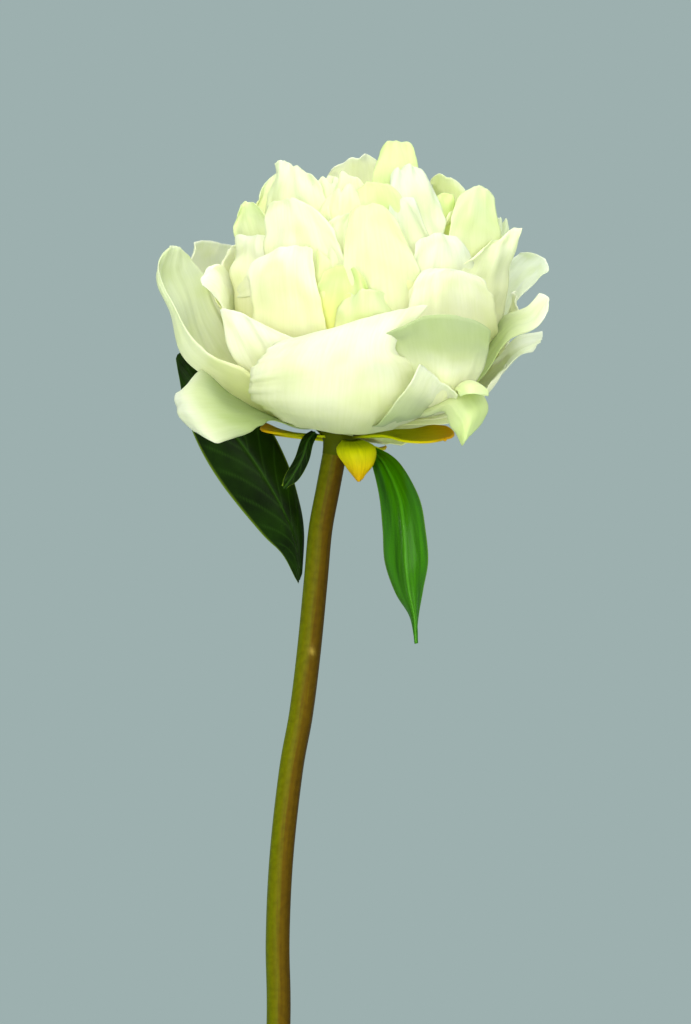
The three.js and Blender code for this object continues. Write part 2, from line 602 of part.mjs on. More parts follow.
function vase() {
  const outer = SIDE.getPoints(SIDE_STEPS).map((point) => [point.x, point.y]);
  const inner = outer.filter(([, z]) => z > VASE_FLOOR + 3).map(([r, z]) => [r - VASE_WALL, z]).reverse();
  return lathed([
    [0, 0], [VASE_BASE - 1.5, 0], ...outer,
    [VASE_LIP - 0.6, VASE_HEIGHT], [VASE_LIP - VASE_WALL + 0.6, VASE_HEIGHT], ...inner,
    [VASE_BASE - VASE_WALL - 2, VASE_FLOOR], [0, VASE_FLOOR],
  ]);
}

const HOLE_BELOW = 6;           // the hole in the water starts this far below the stem's end

// The water fills the vase to its level, with a plain hole where the stem stands
function water() {
  const inside = SIDE.getPoints(SIDE_STEPS).map((point) => [point.x - VASE_WALL - GAP, point.y]);
  const wet = inside.filter(([, z]) => z > VASE_FLOOR + 3 && z < WATER_LEVEL - 2);
  const above = inside.find(([, z]) => z >= WATER_LEVEL - 2);
  const below = wet[wet.length - 1];
  const share = (WATER_LEVEL - below[1]) / (above[1] - below[1]);
  const brim = THREE.MathUtils.lerp(below[0], above[0], share) - 0.2;
  const body = lathed([
    [0, VASE_FLOOR + GAP], [VASE_BASE - VASE_WALL - 2 - GAP, VASE_FLOOR + GAP], ...wet,
    [brim, WATER_LEVEL], [0, WATER_LEVEL],
  ]);
  return mainBody(body.subtract(tube(stemPath(HOLE_BELOW), STEM_RADIUS + 2 * GAP)));
}

const flower = new THREE.Group();
flower.add(meshOf('vase', vase(), 'glaze'));
flower.add(meshOf('water', water(), 'water'));
flower.add(meshOf('stem', stem(), 'stem'));
flower.add(meshOf('calyx', calyx(), 'sepal'));
flower.add(meshOf('bloom', mainBody(bloom()), 'petal'));
Object.keys(LEAVES).forEach((name) => flower.add(meshOf(name, leaf(name), 'leaf')));

export default flower;
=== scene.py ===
# %% [markdown]
# A white peony in a bud vase. One cut flower stands in water: a bent stem, a small green calyx with
# sepals, three leaves, and an open double bloom. The bloom has a ring of large cupped guard petals and,
# inside them, a dome of smaller ruffled ones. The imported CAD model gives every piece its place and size,
# and this script lays a finer piece over each of its nodes.

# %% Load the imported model
import math
import random

import bpy
import numpy as np
from mathutils import Matrix, Vector


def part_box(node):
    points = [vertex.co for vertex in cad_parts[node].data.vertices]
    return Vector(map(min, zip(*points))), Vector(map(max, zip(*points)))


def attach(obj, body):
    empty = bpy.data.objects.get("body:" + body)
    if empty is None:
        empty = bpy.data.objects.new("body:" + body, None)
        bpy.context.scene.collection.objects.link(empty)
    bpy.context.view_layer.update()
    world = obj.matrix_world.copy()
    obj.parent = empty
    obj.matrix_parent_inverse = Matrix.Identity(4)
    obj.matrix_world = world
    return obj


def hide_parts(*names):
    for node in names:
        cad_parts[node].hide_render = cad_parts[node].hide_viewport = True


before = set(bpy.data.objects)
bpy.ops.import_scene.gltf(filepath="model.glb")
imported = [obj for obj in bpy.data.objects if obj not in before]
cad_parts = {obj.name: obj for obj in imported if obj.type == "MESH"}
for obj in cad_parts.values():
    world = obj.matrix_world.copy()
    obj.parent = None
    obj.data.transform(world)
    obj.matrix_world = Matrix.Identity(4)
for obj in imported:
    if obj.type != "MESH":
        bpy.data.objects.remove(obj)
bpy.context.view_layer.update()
print("CAD nodes", sorted(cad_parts))

# %% [markdown]
# The camera comes first, because every likeness is judged through it. The photo looks at the flower
# straight from the front, from far enough away that the bloom shows little perspective. One photo pixel
# is 0.3 mm at the stem, and the photo's bottom edge cuts the stem 190 mm above the table, so the vase
# stays just out of the picture.

# %% Camera
MM = 0.001
PIXEL = 0.3 * MM
PHOTO_HEIGHT = 1024 * PIXEL     # the photo is 1024 pixels tall
PHOTO_FOOT = 190 * MM
VIEW_DISTANCE = 1.5
VIEW_CENTRE_X = 25.7 * MM
SENSOR = 36.0

eye = Vector((VIEW_CENTRE_X, -VIEW_DISTANCE, PHOTO_FOOT + PHOTO_HEIGHT / 2))
bpy.ops.object.camera_add(location=eye, rotation=(math.pi / 2, 0, 0))
camera = bpy.context.object
camera.data.sensor_width = SENSOR
camera.data.lens = SENSOR * VIEW_DISTANCE / PHOTO_HEIGHT
bpy.context.scene.camera = camera
print("camera at", tuple(round(c, 4) for c in eye), "lens", round(camera.data.lens, 1))

# %% [markdown]
# Colours are written as hex, as a picker shows them, and turned to the linear values that shaders use.
# One small function adds a shader node, sets it and links it, so that each material reads as a list of
# what it is made of. A Mix node has several sockets of one name, so its inputs go by number: 0 is the
# factor, and 6 and 7 are the two colours. Its mixed colour comes out of socket 2.

# %% Colour and node helpers
def linear(hex_colour):
    """An sRGB hex colour as the linear values that a shader uses."""
    channels = [int(hex_colour[k:k + 2], 16) / 255 for k in (0, 2, 4)]
    return [c / 12.92 if c <= 0.04045 else ((c + 0.055) / 1.055) ** 2.4 for c in channels] + [1]


def add_node(material, kind, inputs=None, stops=None, **settings):
    """Adds a shader node with its settings, its ramp's stops, and its inputs set or linked."""
    tree = material.node_tree
    node = tree.nodes.new("ShaderNode" + kind)
    for name, value in settings.items():
        setattr(node, name, value)
    if stops:
        elements = node.color_ramp.elements
        while len(elements) < len(stops):
            elements.new(0.5)
        for element, (place, colour) in zip(elements, stops):
            element.position = place
            element.color = linear(colour)
    for name, value in (inputs or {}).items():
        if isinstance(value, bpy.types.NodeSocket):
            tree.links.new(value, node.inputs[name])
        else:
            node.inputs[name].default_value = value
    return node


def new_material(name):
    """A material with no nodes yet."""
    material = bpy.data.materials.new(name)
    material.use_nodes = True
    material.node_tree.nodes.clear()
    return material


MIX = {"data_type": "RGBA"}
MULTIPLY = {"data_type": "RGBA", "blend_type": "MULTIPLY"}
print("mid grey in linear values", linear("808080"))

# %% [markdown]
# A petal is thin living tissue: matte, nearly white, and light passes through it. That gives the bloom
# its glow, because light that has gone through several petals comes out yellow-green. So the shader mixes
# a soft surface with a translucent one. Two things are stored on each petal when it is made: how far a
# point lies from root to tip, and how deep in the bloom the petal sits. Its colour follows both, and the
# deeper petals are painted yellower: partly their own cream, and partly painted shade in the yellow-green
# that light takes through petals. Some petals get a green or a grey cast toward the tip, partly their own
# tint and partly painted shade. Some get a painted shade of deeper green at the root or at the tip, where
# they lie in shade. These are stored on them too. Their own UV map, in millimetres, carries the fine
# veins that run along them, as faint streaks and a little relief.

# %% Petal material
VEIN_SPACING = 0.9      # millimetres between the veins of a petal, drawn a little coarse so that they show
VEIN_LENGTH = 14.0      # and how long a vein runs before it fades
MOTTLE = 0.07           # soft patches of cream to the millimetre, so one is about 14 mm across

petal_skin = new_material("peony_petal_tissue")
along, depth, green, base_green, cool = [
    add_node(petal_skin, "Attribute", attribute_name=name)
    for name in ("along", "depth", "green", "base_green", "cool")]
grid = add_node(petal_skin, "UVMap", uv_map="blade")
stretch = add_node(petal_skin, "Mapping", {
    "Vector": grid.outputs["UV"], "Scale": (1 / VEIN_SPACING, 1 / VEIN_LENGTH, 1)})
veins = add_node(petal_skin, "TexNoise", {
    "Vector": stretch.outputs["Vector"], "Scale": 1.0, "Detail": 3.0, "Roughness": 0.6})
mottle = add_node(petal_skin, "TexNoise", {"Vector": grid.outputs["UV"], "Scale": MOTTLE, "Detail": 1.0})
outer = add_node(petal_skin, "ValToRGB", {"Fac": along.outputs["Fac"]}, stops=[
    (0.0, "DDE392"), (0.25, "EFF1CC"), (0.5, "F5F6E0"), (0.9, "F6F7EA"), (1.0, "EEF1E6")])
# The deeper petals' ramp is yellower: partly the tissue's own cream, partly painted shade in the
# yellow-green of light that has passed through petals.
inner = add_node(petal_skin, "ValToRGB", {"Fac": along.outputs["Fac"]}, stops=[
    (0.0, "E8EC60"), (0.4, "FCFBA0"), (0.75, "FDFDDA"), (1.0, "F5F7E2")])
tissue = add_node(petal_skin, "Mix", {
    0: depth.outputs["Fac"], 6: outer.outputs["Color"], 7: inner.outputs["Color"]}, **MIX)
# Green and grey casts toward the tip, partly the tissue's own tint and partly painted shade.
greened = add_node(petal_skin, "Mix", {
    0: green.outputs["Fac"], 6: tissue.outputs[2], 7: linear("DCEE98")}, **MIX)
cooled = add_node(petal_skin, "Mix", {
    0: cool.outputs["Fac"], 6: greened.outputs[2], 7: linear("E6ECDF")}, **MIX)
# Painted shade: a deeper green where a petal lies in shade, at its root or at its tip.
shade_painted = add_node(petal_skin, "Mix", {
    0: base_green.outputs["Fac"], 6: cooled.outputs[2], 7: linear("A2B868")}, **MIX)
patches = add_node(petal_skin, "ValToRGB", {"Fac": mottle.outputs["Fac"]}, stops=[
    (0.3, "F9FBE6"), (0.5, "FFFFF8"), (0.7, "FCFCFC")])
tint = add_node(petal_skin, "Mix", {0: 0.8, 6: shade_painted.outputs[2], 7: patches.outputs["Color"]}, **MULTIPLY)
streaks = add_node(petal_skin, "ValToRGB", {"Fac": veins.outputs["Fac"]}, stops=[
    (0.35, "F0F4DC"), (0.6, "FFFFFF")])
streaked = add_node(petal_skin, "Mix", {
    0: 0.25, 6: tint.outputs[2], 7: streaks.outputs["Color"]}, **MULTIPLY)
relief = add_node(petal_skin, "Bump", {
    "Height": veins.outputs["Fac"], "Strength": 0.4, "Distance": 0.12 * MM})
skin = add_node(petal_skin, "BsdfPrincipled", {
    "Base Color": streaked.outputs[2], "Roughness": 0.55, "IOR": 1.4, "Specular IOR Level": 0.35,
    "Sheen Weight": 0.15, "Normal": relief.outputs["Normal"]})
glow = add_node(petal_skin, "BsdfTranslucent", {
    "Color": streaked.outputs[2], "Normal": relief.outputs["Normal"]})
petal = add_node(petal_skin, "MixShader", {0: 0.55, 1: skin.outputs["BSDF"], 2: glow.outputs["BSDF"]})
add_node(petal_skin, "OutputMaterial", {"Surface": petal.outputs["Shader"]})
print("made", petal_skin.name)

# %% [markdown]
# Petals, sepals and leaves are all blades: thin sheets that run from a root to a tip. Each is given as a
# few rows of three points, the left margin, the midrib and the right margin, in millimetres from the
# bloom's root, as seen from the front. A smooth curve runs down each of the three columns and a parabola
# joins them, so a handful of rows makes a whole cupped surface.

# %% Curves
BLOOM_ROOT = Vector((24.0, 0.0, 369.7))     # millimetres from the vase's base
BLOOM_LEAN = math.radians(10)               # the bloom tips this far toward +X
BLOOM_AXIS = Vector((math.sin(BLOOM_LEAN), 0, math.cos(BLOOM_LEAN)))
TINY = 1e-9                                 # keeps a share below its end, and a length above nothing


def smooth_curve(points, t):
    """Places at the shares t along an even Catmull-Rom curve through the points."""
    points = np.asarray(points, float)
    spans = len(points) - 1
    padded = np.vstack([2 * points[0] - points[1], points, 2 * points[-1] - points[-2]])
    x = np.clip(t * spans, 0, spans - TINY)
    i = x.astype(int)
    f = (x - i)[:, None]
    a, b, c, d = (padded[i + k] for k in range(4))
    return 0.5 * (2 * b + (c - a) * f + (2 * a - 5 * b + 4 * c - d) * f**2 + (3 * b - a - 3 * c + d) * f**3)


def ease(low, high, x):
    """0 below low, 1 above high, and smooth between."""
    share = np.clip((x - low) / (high - low), 0, 1)
    return share * share * (3 - 2 * share)


def on_blade(rows, t, u):
    """The blade's surface: t runs from root to tip and u from the left margin, -1, to the right, 1."""
    left, middle, right = (smooth_curve(rows[:, place], t) for place in range(3))
    u = u[:, None]
    return middle + (right - left) / 2 * u + ((left + right) / 2 - middle) * u * u


def blade_length(rows):
    """The length of the midrib, in millimetres."""
    return float(np.linalg.norm(np.diff(rows[:, 1], axis=0), axis=1).sum())


print("the bloom's root", tuple(round(c, 1) for c in BLOOM_ROOT), "and its axis",
      tuple(round(c, 3) for c in BLOOM_AXIS))

# %% [markdown]
# No two petals are alike. Each one's margins wave, its tip is notched and a little frayed, and a few soft
# creases run up from its root. All of that is drawn from a random generator seeded with the petal's own
# name, so the flower comes out the same each time. On a blade, u runs across it from -1 to 1 and v from
# its root to its tip, 0 to 1.
#
# A blade's look says how much of each it has, in millimetres unless it is a count or a share. tip and
# round shape its two top corners, notches and fray cut its end, and waver and nibble shift its margins.
# ruffle and waves make the margins wave, creases fold it lengthwise, puckers gather one margin, and
# crumple crosses all of it. roll, cup and curl bend it. depth and the rest tint it, and part of that tint
# is painted shade.

# %% What makes a petal irregular
BLADE_LOOK = dict(
    tip=(1, 1), round=1.0, notches=[], fray=0.1, waver=0.0, nibble=0.0, ruffle=0.4, waves=1.0, creases=3,
    crease=0.2, puckers=[], crumple=0.0, roll=0.0, cup=0.0, curl=0.0, depth=0.0, green=0.0,
    base_green=0.0, painted_tip_shade=0.0, cool=0.0)
FINER = 1.7             # each further sine of a ripple is this much finer than the last
FAINTER = 1.6           # and this much smaller
TIP_ARC = 0.97          # how much of a half circle rounds the tip
WAVES_APART = 9.0       # how far along a ripple the left margin's waves are from the right's
EDGES_APART = 3         # and how far its outline is
CRUMPLES = 5            # waves that cross a petal, each at its own slant
CRUMPLE_HEIGHT = 0.45   # the height of each, as a share of the look's crumple
PETAL_LONG = 2.5        # how many half widths long a petal is, about


def own_look(base, entry):
    """The base look with what a table's entry says instead."""
    return {**base, **{key: value for key, value in entry.items() if key not in ("rows", "layer")}}


def ripples(x, draw, lowest, count):
    """A smooth random line over x: a few sines, the later ones finer and smaller."""
    total = np.zeros_like(x)
    for k in range(count):
        pitch = lowest * FINER ** k
        total += np.sin(pitch * x + draw.uniform(0, 2 * math.pi)) / FAINTER ** k
    return total / 2


def tip_cut(u, look, draw):
    """How far the tip's outline lies back from the last row, in millimetres."""
    left, right = look["tip"]
    corner = left + (right - left) * ease(-0.25, 0.25, u)
    cut = look["round"] * corner * (1 - np.sqrt(1 - TIP_ARC * u * u))
    for place, deep, wide in look["notches"]:
        cut += deep * np.exp(-((u - place) / wide) ** 2)
    return cut + look["fray"] * (1 + ripples(u, draw, lowest=7, count=4))


def swell(u, v, look, draw):
    """How far the surface stands out along its normal, in millimetres."""
    near_margin = np.abs(u) ** 3 * ease(0.05, 0.6, v)
    side = np.where(u > 0, 0.0, WAVES_APART)
    rise = ease(0.0, 0.5, v)
    out = look["ruffle"] * near_margin * ripples(look["waves"] * v + side, draw, lowest=5, count=3)
    out += look["ruffle"] * v ** 4 * ripples(u, draw, lowest=3, count=3)
    for _ in range(look["creases"]):
        place = draw.uniform(-0.8, 0.8)
        lean = draw.uniform(-0.25, 0.25)
        wide = draw.uniform(0.03, 0.12)
        fold = np.exp(-((u - place - lean * v) / wide) ** 2)
        out += look["crease"] * draw.choice((-1, 1)) * fold * ease(0.1, 0.5, v) * (1 - 0.6 * v)
    for margin, high, pitch, reach in look["puckers"]:
        line = ripples(v + 0.05 * u * margin, draw, pitch, count=3)
        out += high * np.exp(-(1 - margin * u) / reach) * line
    for _ in range(CRUMPLES):
        way = draw.uniform(0, math.pi)
        pitch = draw.uniform(5, 11)
        slant = u * math.cos(way) + PETAL_LONG * v * math.sin(way)
        wave = np.sin(pitch * slant + draw.uniform(0, 2 * math.pi))
        out += CRUMPLE_HEIGHT * look["crumple"] * wave * rise
    out += (look["roll"] * u - look["cup"] * u * u) * rise
    return out + look["curl"] * ease(0.6, 1.0, v) ** 2


print("a blade's look has", len(BLADE_LOOK), "entries")

# %% [markdown]
# A blade starts as a grid primitive. Its points are moved onto the surface of the rows, pushed out by the
# swell, and the sheet gets its thickness from a Solidify modifier. By hand this is a grid and a lot of
# proportional editing. The flower has 174 petals, so one function does it for each.

# %% Lay a blade
STEP = 0.01         # how far to each side the surface's slope is measured
UV_SPREAD = 500     # millimetres over which the blades' UV maps are scattered, so that no two look alike


def blade_surface(u, v, rows, look, draw, marks):
    """The points of a blade from the bloom's root, how far across they lie, and what is painted there."""
    t = np.clip(v * (1 - tip_cut(u, look, draw) / blade_length(rows)), 0, 1)
    edge = v + EDGES_APART * np.sign(u)
    u = u + look["waver"] * u ** 3 * ease(0.1, 0.5, v) * ripples(edge, draw, lowest=6, count=3)
    u = u + look["nibble"] * np.abs(u) ** 6 * ripples(edge, draw, lowest=30, count=3)
    across_way = on_blade(rows, t, u + STEP) - on_blade(rows, t, u - STEP)
    along_way = on_blade(rows, np.clip(t + STEP, 0, 1), u) - on_blade(rows, np.clip(t - STEP, 0, 1), u)
    normal = np.cross(across_way, along_way)
    normal /= np.linalg.norm(normal, axis=1)[:, None] + TINY
    out = swell(u, v, look, draw)
    paint = {"along": v, "depth": np.full(len(v), look["depth"])}
    # A green and a grey cast toward the tip, partly the tissue's own tint and partly painted shade.
    for cast in ("green", "cool"):
        paint[cast] = look[cast] * ease(0.2, 0.9, v)
    # Painted shade: a deeper green toward the root, and toward the tip of petals that lie in shade there.
    paint["base_green"] = look["base_green"] * ease(1.0, 0.55, v) + look["painted_tip_shade"] * ease(0.5, 0.9, v)
    if marks:
        relief, more_paint = marks(u, v)
        out += relief
        paint.update(more_paint)
    half_width = np.linalg.norm(rows[:, 2] - rows[:, 0], axis=1).max() / 2
    return on_blade(rows, t, u) + out[:, None] * normal, u * half_width, paint


def lay_blade(name, rows, look, grid, thick, material, turn=0.0, marks=None):
    """A thin sheet through the rows, turned about the bloom's axis, as a finished mesh object."""
    bpy.ops.object.select_all(action="DESELECT")
    bpy.ops.mesh.primitive_grid_add(x_subdivisions=grid[0], y_subdivisions=grid[1], size=2)
    piece = bpy.context.object
    piece.name = name
    mesh = piece.data
    flat = np.empty(len(mesh.vertices) * 3)
    mesh.vertices.foreach_get("co", flat)
    flat = flat.reshape(-1, 3)
    u = flat[:, 0]
    v = (flat[:, 1] + 1) / 2
    rows = np.asarray(rows, float).reshape(len(rows), 3, 3)
    draw = random.Random(name)
    place, across, paint = blade_surface(u, v, rows, look, draw, marks)
    spin = np.array(Matrix.Rotation(math.radians(turn), 3, BLOOM_AXIS))
    place = (place @ spin.T + np.array(BLOOM_ROOT)) * MM
    mesh.vertices.foreach_set("co", place.ravel())
    for attribute, value in paint.items():
        mesh.attributes.new(attribute, "FLOAT", "POINT").data.foreach_set("value", value)
    lay_uv(mesh, across + draw.uniform(0, UV_SPREAD), v * blade_length(rows))
    mesh.materials.append(material)
    bpy.ops.object.shade_smooth()
    thicken = piece.modifiers.new("thickness", "SOLIDIFY")
    thicken.thickness = thick * MM
    thicken.offset = 0
    bpy.ops.object.modifier_apply(modifier=thicken.name)
    return piece


def lay_uv(mesh, across, along):
    """The blade's own UV map in millimetres, from one value of each kind for every vertex."""
    while mesh.uv_layers:
        mesh.uv_layers.remove(mesh.uv_layers[0])
    layer = mesh.uv_layers.new(name="blade")
    corner = np.empty(len(mesh.loops), int)
    mesh.loops.foreach_get("vertex_index", corner)
    layer.data.foreach_set("uv", np.stack([across[corner], along[corner]], axis=1).ravel())


def join_pieces(name, pieces):
    """Several blades as one object, at the origin, with its place in its mesh."""
    bpy.ops.object.select_all(action="DESELECT")
    for piece in pieces:
        piece.select_set(True)
    bpy.context.view_layer.objects.active = pieces[0]
    bpy.ops.object.join()
    whole = bpy.context.object
    whole.name = name
    whole.data.name = name
    bpy.ops.object.transform_apply(location=True, rotation=True, scale=True)
    whole.data.calc_loop_triangles()
    print(name, len(whole.data.loop_triangles), "triangles from", len(pieces), "pieces")
    return whole


# %% [markdown]
# The guard petals are the big outer ones. Each was placed over the photo: a cupped one in front,
# a folded one over its right side, long ones that reach to the right, a trough-shaped one that stands up
# at the left, and drooping ones at both sides. Most have the same rows in the CAD model, and five were
# then fitted closer to the photo. Six more, turned about the bloom's axis, close the ring at the back.

# %% Guard petals
# Some guards carry a painted shade of deeper green at the root or at the tip, where they lie in shade.
GUARDS = {
    "front": dict(tip=(9, 3), puckers=[(-1, 0.5, 70, 0.25), (1, 0.4, 40, 0.25)], creases=12, crease=0.4,
                  crumple=0.45, base_green=0.1, rows=[
        [-4, -4, 0, 0, -7, -1, 3, -4, 0],
        [-15, -24, 0, 1, -32, -3, 14, -24, -2],
        [-24, -40, 6, 2, -52, 1, 25, -38, 4],
        [-26, -47, 13, 3, -59, 12, 23, -48, 15],
        [-22, -48, 20, 4, -59, 22, 16, -56, 22],
        [-13, -49, 25, 7, -55, 30, 28, -51, 36],
    ]),
    "front_fold": dict(tip=(2, 3), base_green=0.6, ruffle=0.4, rows=[
        [1, -4, -1, 2, -4, -1, 3, -3, 0],
        [7, -34, -1, 13, -24, 0, 18, -18, 1],
        [12, -53, 0, 20, -42, 1, 28, -34, 3],
        [17, -58, 7, 25, -46, 6, 33, -46, 5],
        [24, -59, 18, 29, -53, 12, 35, -52, 9],
    ]),
    "front_right": dict(tip=(0.5, 3), painted_tip_shade=0.6, ruffle=0.6, curl=2, rows=[
        [0, -3, 0, 1, -4, 0, 2, -3, 1],
        [11, -22, 1, 17, -27, 1, 26, -22, 2],
        [19, -38, 5, 28, -43, 4, 36, -36, 5],
        [19, -48, 13, 30, -51, 13, 40, -42, 13],
        [14, -54, 21, 30, -50, 21, 43, -42, 20],
        [13, -56, 26, 28, -58, 32, 43, -48, 29],
    ]),
    "right_hanging": dict(tip=(1, 3), green=0.6, base_green=0.3, ruffle=0.4, creases=2, crumple=0.1, rows=[
        [0, -4, -1, 1, -3, 0, 2, -1, 0],
        [13, -26, 1, 16, -28, 2, 19, -20, 4],
        [25, -42, 2, 28, -45, 5, 31, -34, 8],
        [30, -48, 3, 34, -49, 7, 38, -40, 10],
        [32, -51, -1, 37, -53, 4, 42, -43, 8],
        [34, -52, -4, 38, -55, 0, 43, -45, 4],
        [36, -51, -7, 37, -54, -5, 41, -47, -1],
    ]),
    "right_hood": dict(tip=(1, 2), green=0.5, waver=0, nibble=0, ruffle=0, creases=0,
                       crumple=0, fray=0.1, rows=[
        [31, -39, 8, 35, -38, 10, 40, -36, 9],
        [33, -46, 9, 37, -47, 12, 42, -43, 10],
        [34, -53, 9, 38, -55, 11, 43, -50, 9],
        [35, -56, 7, 38, -59, 8, 43, -54, 7],
    ]),
    "right_long": dict(tip=(4, 2), base_green=0.8, rows=[
        [0, -4, 0, 1, -2, 0, 2, 0, 1],
        [19, -24, 1, 19, -14, 3, 19, -4, 5],
        [33, -35, 6, 33, -23, 11, 33, -9, 16],
        [43, -37, 15, 43, -25, 21, 41, -11, 26],
        [50, -35, 25, 50, -25, 29.5, 48, -13, 32],
        [58, -36, 29, 56, -26, 32.5, 55, -16, 34.5],
        [62, -33, 35, 61, -25, 38, 58.5, -17, 38],
    ]),
    "right_middle": dict(tip=(3, 1), cool=0.5, rows=[
        [0, -3, 0, 1, -2, 0, 2, 0, 1],
        [19, -18, 1, 20, -12, 2, 20, -4, 3],
        [34, -28, 3, 35, -18, 6, 36, -7, 10],
        [44, -30, 11, 46, -19, 15, 46, -8, 19],
        [52, -25, 19, 53, -17, 22, 53, -8, 26],
        [58, -18, 23, 60, -13, 25, 61, -8, 27],
    ]),
    "right_under": dict(tip=(3, 2), rows=[
        [0, -3, -1, 1, -2, 0, 2, 0, 0],
        [18, -22, 1, 18, -14, 2, 19, -6, 4],
        [31, -35, 2, 32, -24, 5, 33, -11, 8],
        [40, -40, 5, 41, -27, 9, 42, -13, 13],
        [44, -36, 11, 47, -26, 14, 47, -14, 18],
        [47, -30, 15, 50, -23, 18, 51, -15, 21],
    ]),
    "right_back": dict(tip=(3, 3), cool=1.0, rows=[
        [1, 0, 0, 1, 3, 0, 2, 5, 1],
        [18, 6, 0, 19, 15, 3, 19, 24, 7],
        [35, 10, 9, 35, 25, 14, 34, 38, 19],
        [47, 12, 24, 46, 29, 29, 43, 44, 35],
        [54, 15, 39.5, 54, 30, 43, 49, 45, 47],
        [60, 16, 44.5, 59, 30, 49, 53, 42, 52],
        [64, 17, 47, 62, 29, 52, 56, 39, 54],
    ]),
    "left_trough": dict(tip=(3, 3), fray=0.5, creases=10, crease=0.45, crumple=0.5, green=0.3,
                        cool=0.5, rows=[
        [-2, -5, 0, -2, -1, 0, -1, 3, 0],
        [-16, -28, 4, -16, -13, 1, -14, 4, 6],
        [-27, -38, 15, -30, -18, 6, -26, 4, 18],
        [-36, -35, 19, -40, -15, 15, -33, 6, 27],
        [-43, -29, 24, -46, -12, 23, -37, 7, 35],
        [-48, -22, 32, -49, -8, 35, -40, 8, 43],
        [-52, -16, 40, -53, -5, 45, -43, 7, 48],
        [-54, -10, 48, -51, -2, 54, -46, 5, 52],
    ]),
    "front_left": dict(tip=(2, 6), rows=[
        [-2, -5, 0, -1, -6, 0, 0, -6, 0],
        [-12, -16, 2, -8, -20, 0, -4, -22, 0],
        [-23, -28, 8, -15, -34, 6, -5, -38, 6],
        [-30, -34, 18, -21, -40, 17, -7, -46, 16],
        [-34, -36, 27, -25, -41, 25, -10, -46, 22],
        [-35, -35, 34, -29, -40, 32, -14, -45, 25],
    ]),
    "left_curl": dict(tip=(1, 2), rows=[
        [-2, -2, 0, -2, -1, 0, -1, 0, 1],
        [-16, -19, 3, -15, -12, 5, -14, -4, 8],
        [-28, -30, 15, -26, -18, 17, -25, -6, 21],
        [-33, -33, 25, -31, -20, 29, -28, -8, 32],
        [-34, -33, 34, -32, -22, 39, -30, -10, 40],
        [-37, -36, 38, -36, -26, 46, -33, -14, 45],
        [-41, -39, 40, -40, -33, 44, -38, -22, 46],
    ]),
    "left_back": dict(tip=(3, 2), rows=[
        [-1, 4, 0, -1, 6, 1, 0, 8, 1],
        [-16, 6, 3, -15, 17, 7, -12, 27, 10],
        [-32, 8, 17, -30, 25, 22, -26, 39, 27],
        [-40, 8, 33, -38, 27, 38, -32, 43, 42],
        [-44, 9, 47, -42, 27, 50, -33, 45, 52],
        [-44, 14, 55, -41, 28, 57, -32, 44, 56],
    ]),
    "left_hanging": dict(tip=(2, 2), fray=0.3, creases=10, crease=0.45, base_green=0.8, rows=[
        [-2, -5, -1, -2, -1, 0, -1, 3, 0],
        [-12, -26, -1, -12, -14, -1, -12, 0, 2],
        [-20, -36, 1, -22, -25, 3, -23, -5, 7],
        [-23, -44, -1, -30, -38, 4, -32, -11, 14],
        [-29, -50, -4, -37, -47, 6, -38, -17, 16],
        [-36, -57, -6, -44, -47, 6, -41, -23, 16],
        [-44, -51, -2, -48, -42, 5, -45, -31, 11],
    ]),
}
BACK_GUARDS = [
    ("front_left", 175), ("front", 178), ("front_right", 190), ("left_trough", -88),
    ("right_middle", 75), ("front_left", 215),
]
GUARD_LOOK = {**BLADE_LOOK, **dict(
    tip=(3, 3), fray=0.3, waver=0.03, nibble=0.01, ruffle=0.9, waves=1.6, creases=8, crease=0.35,
    crumple=0.3)}
GUARD_THICK = 0.3
GUARD_GRID = (36, 48)
FRONT_GRID = (61, 81)     # the front petal is the largest and the nearest, so its grid is finer


def lay_guard(prefix, name, grid, turn=0.0):
    """One guard petal from the table, turned about the bloom's axis."""
    guard = GUARDS[name]
    look = own_look(GUARD_LOOK, guard)
    return lay_blade(prefix + name, guard["rows"], look, grid, GUARD_THICK, petal_skin, turn)


guards = [lay_guard("guard_", name, FRONT_GRID if name == "front" else GUARD_GRID) for name in GUARDS]
guards += [lay_guard("back_", name, GUARD_GRID, turn) for name, turn in BACK_GUARDS]
guard_petals = join_pieces("guard_petals", guards)

# %% [markdown]
# The inner petals lie in layers on a dome. Each is given by its outline in the front view and a layer:
# 1 is the outside, smaller is further in, and a negative layer lies on the far side. The dome's radius at
# each height turns that outline into places in space. A petal's root is sunk in the heart, and what its
# table doesn't say about its look is left to chance.

# %% The dome
DOME = [
    (-4, 2), (2, 16), (8, 29), (15, 38), (25, 43), (40, 45.5), (52, 44.5),
    (60, 42), (67, 38), (73, 32.5), (78, 25.5), (82, 18), (85, 11), (90, 4),
]                       # height and radius
LEAST_DEPTH = 0.3       # how far a petal at the dome's side stands off its middle plane, as a share


def dome_radius(height):
    """The dome's radius at a height along the bloom's axis, in millimetres."""
    return float(np.interp(height, [h for h, r in DOME], [r for h, r in DOME]))


def on_dome(x, z, layer):
    """A point of the front view laid on the dome, in millimetres from the bloom's root."""
    across = x * math.cos(BLOOM_LEAN) - z * math.sin(BLOOM_LEAN)
    height = x * math.sin(BLOOM_LEAN) + z * math.cos(BLOOM_LEAN)
    radius = dome_radius(height) * abs(layer)
    deep = math.sqrt(max((LEAST_DEPTH * radius) ** 2, radius ** 2 - across ** 2))
    return [x, -math.copysign(deep, layer), z]


print("the dome is", 2 * dome_radius(40), "mm across at 40 mm above its root")
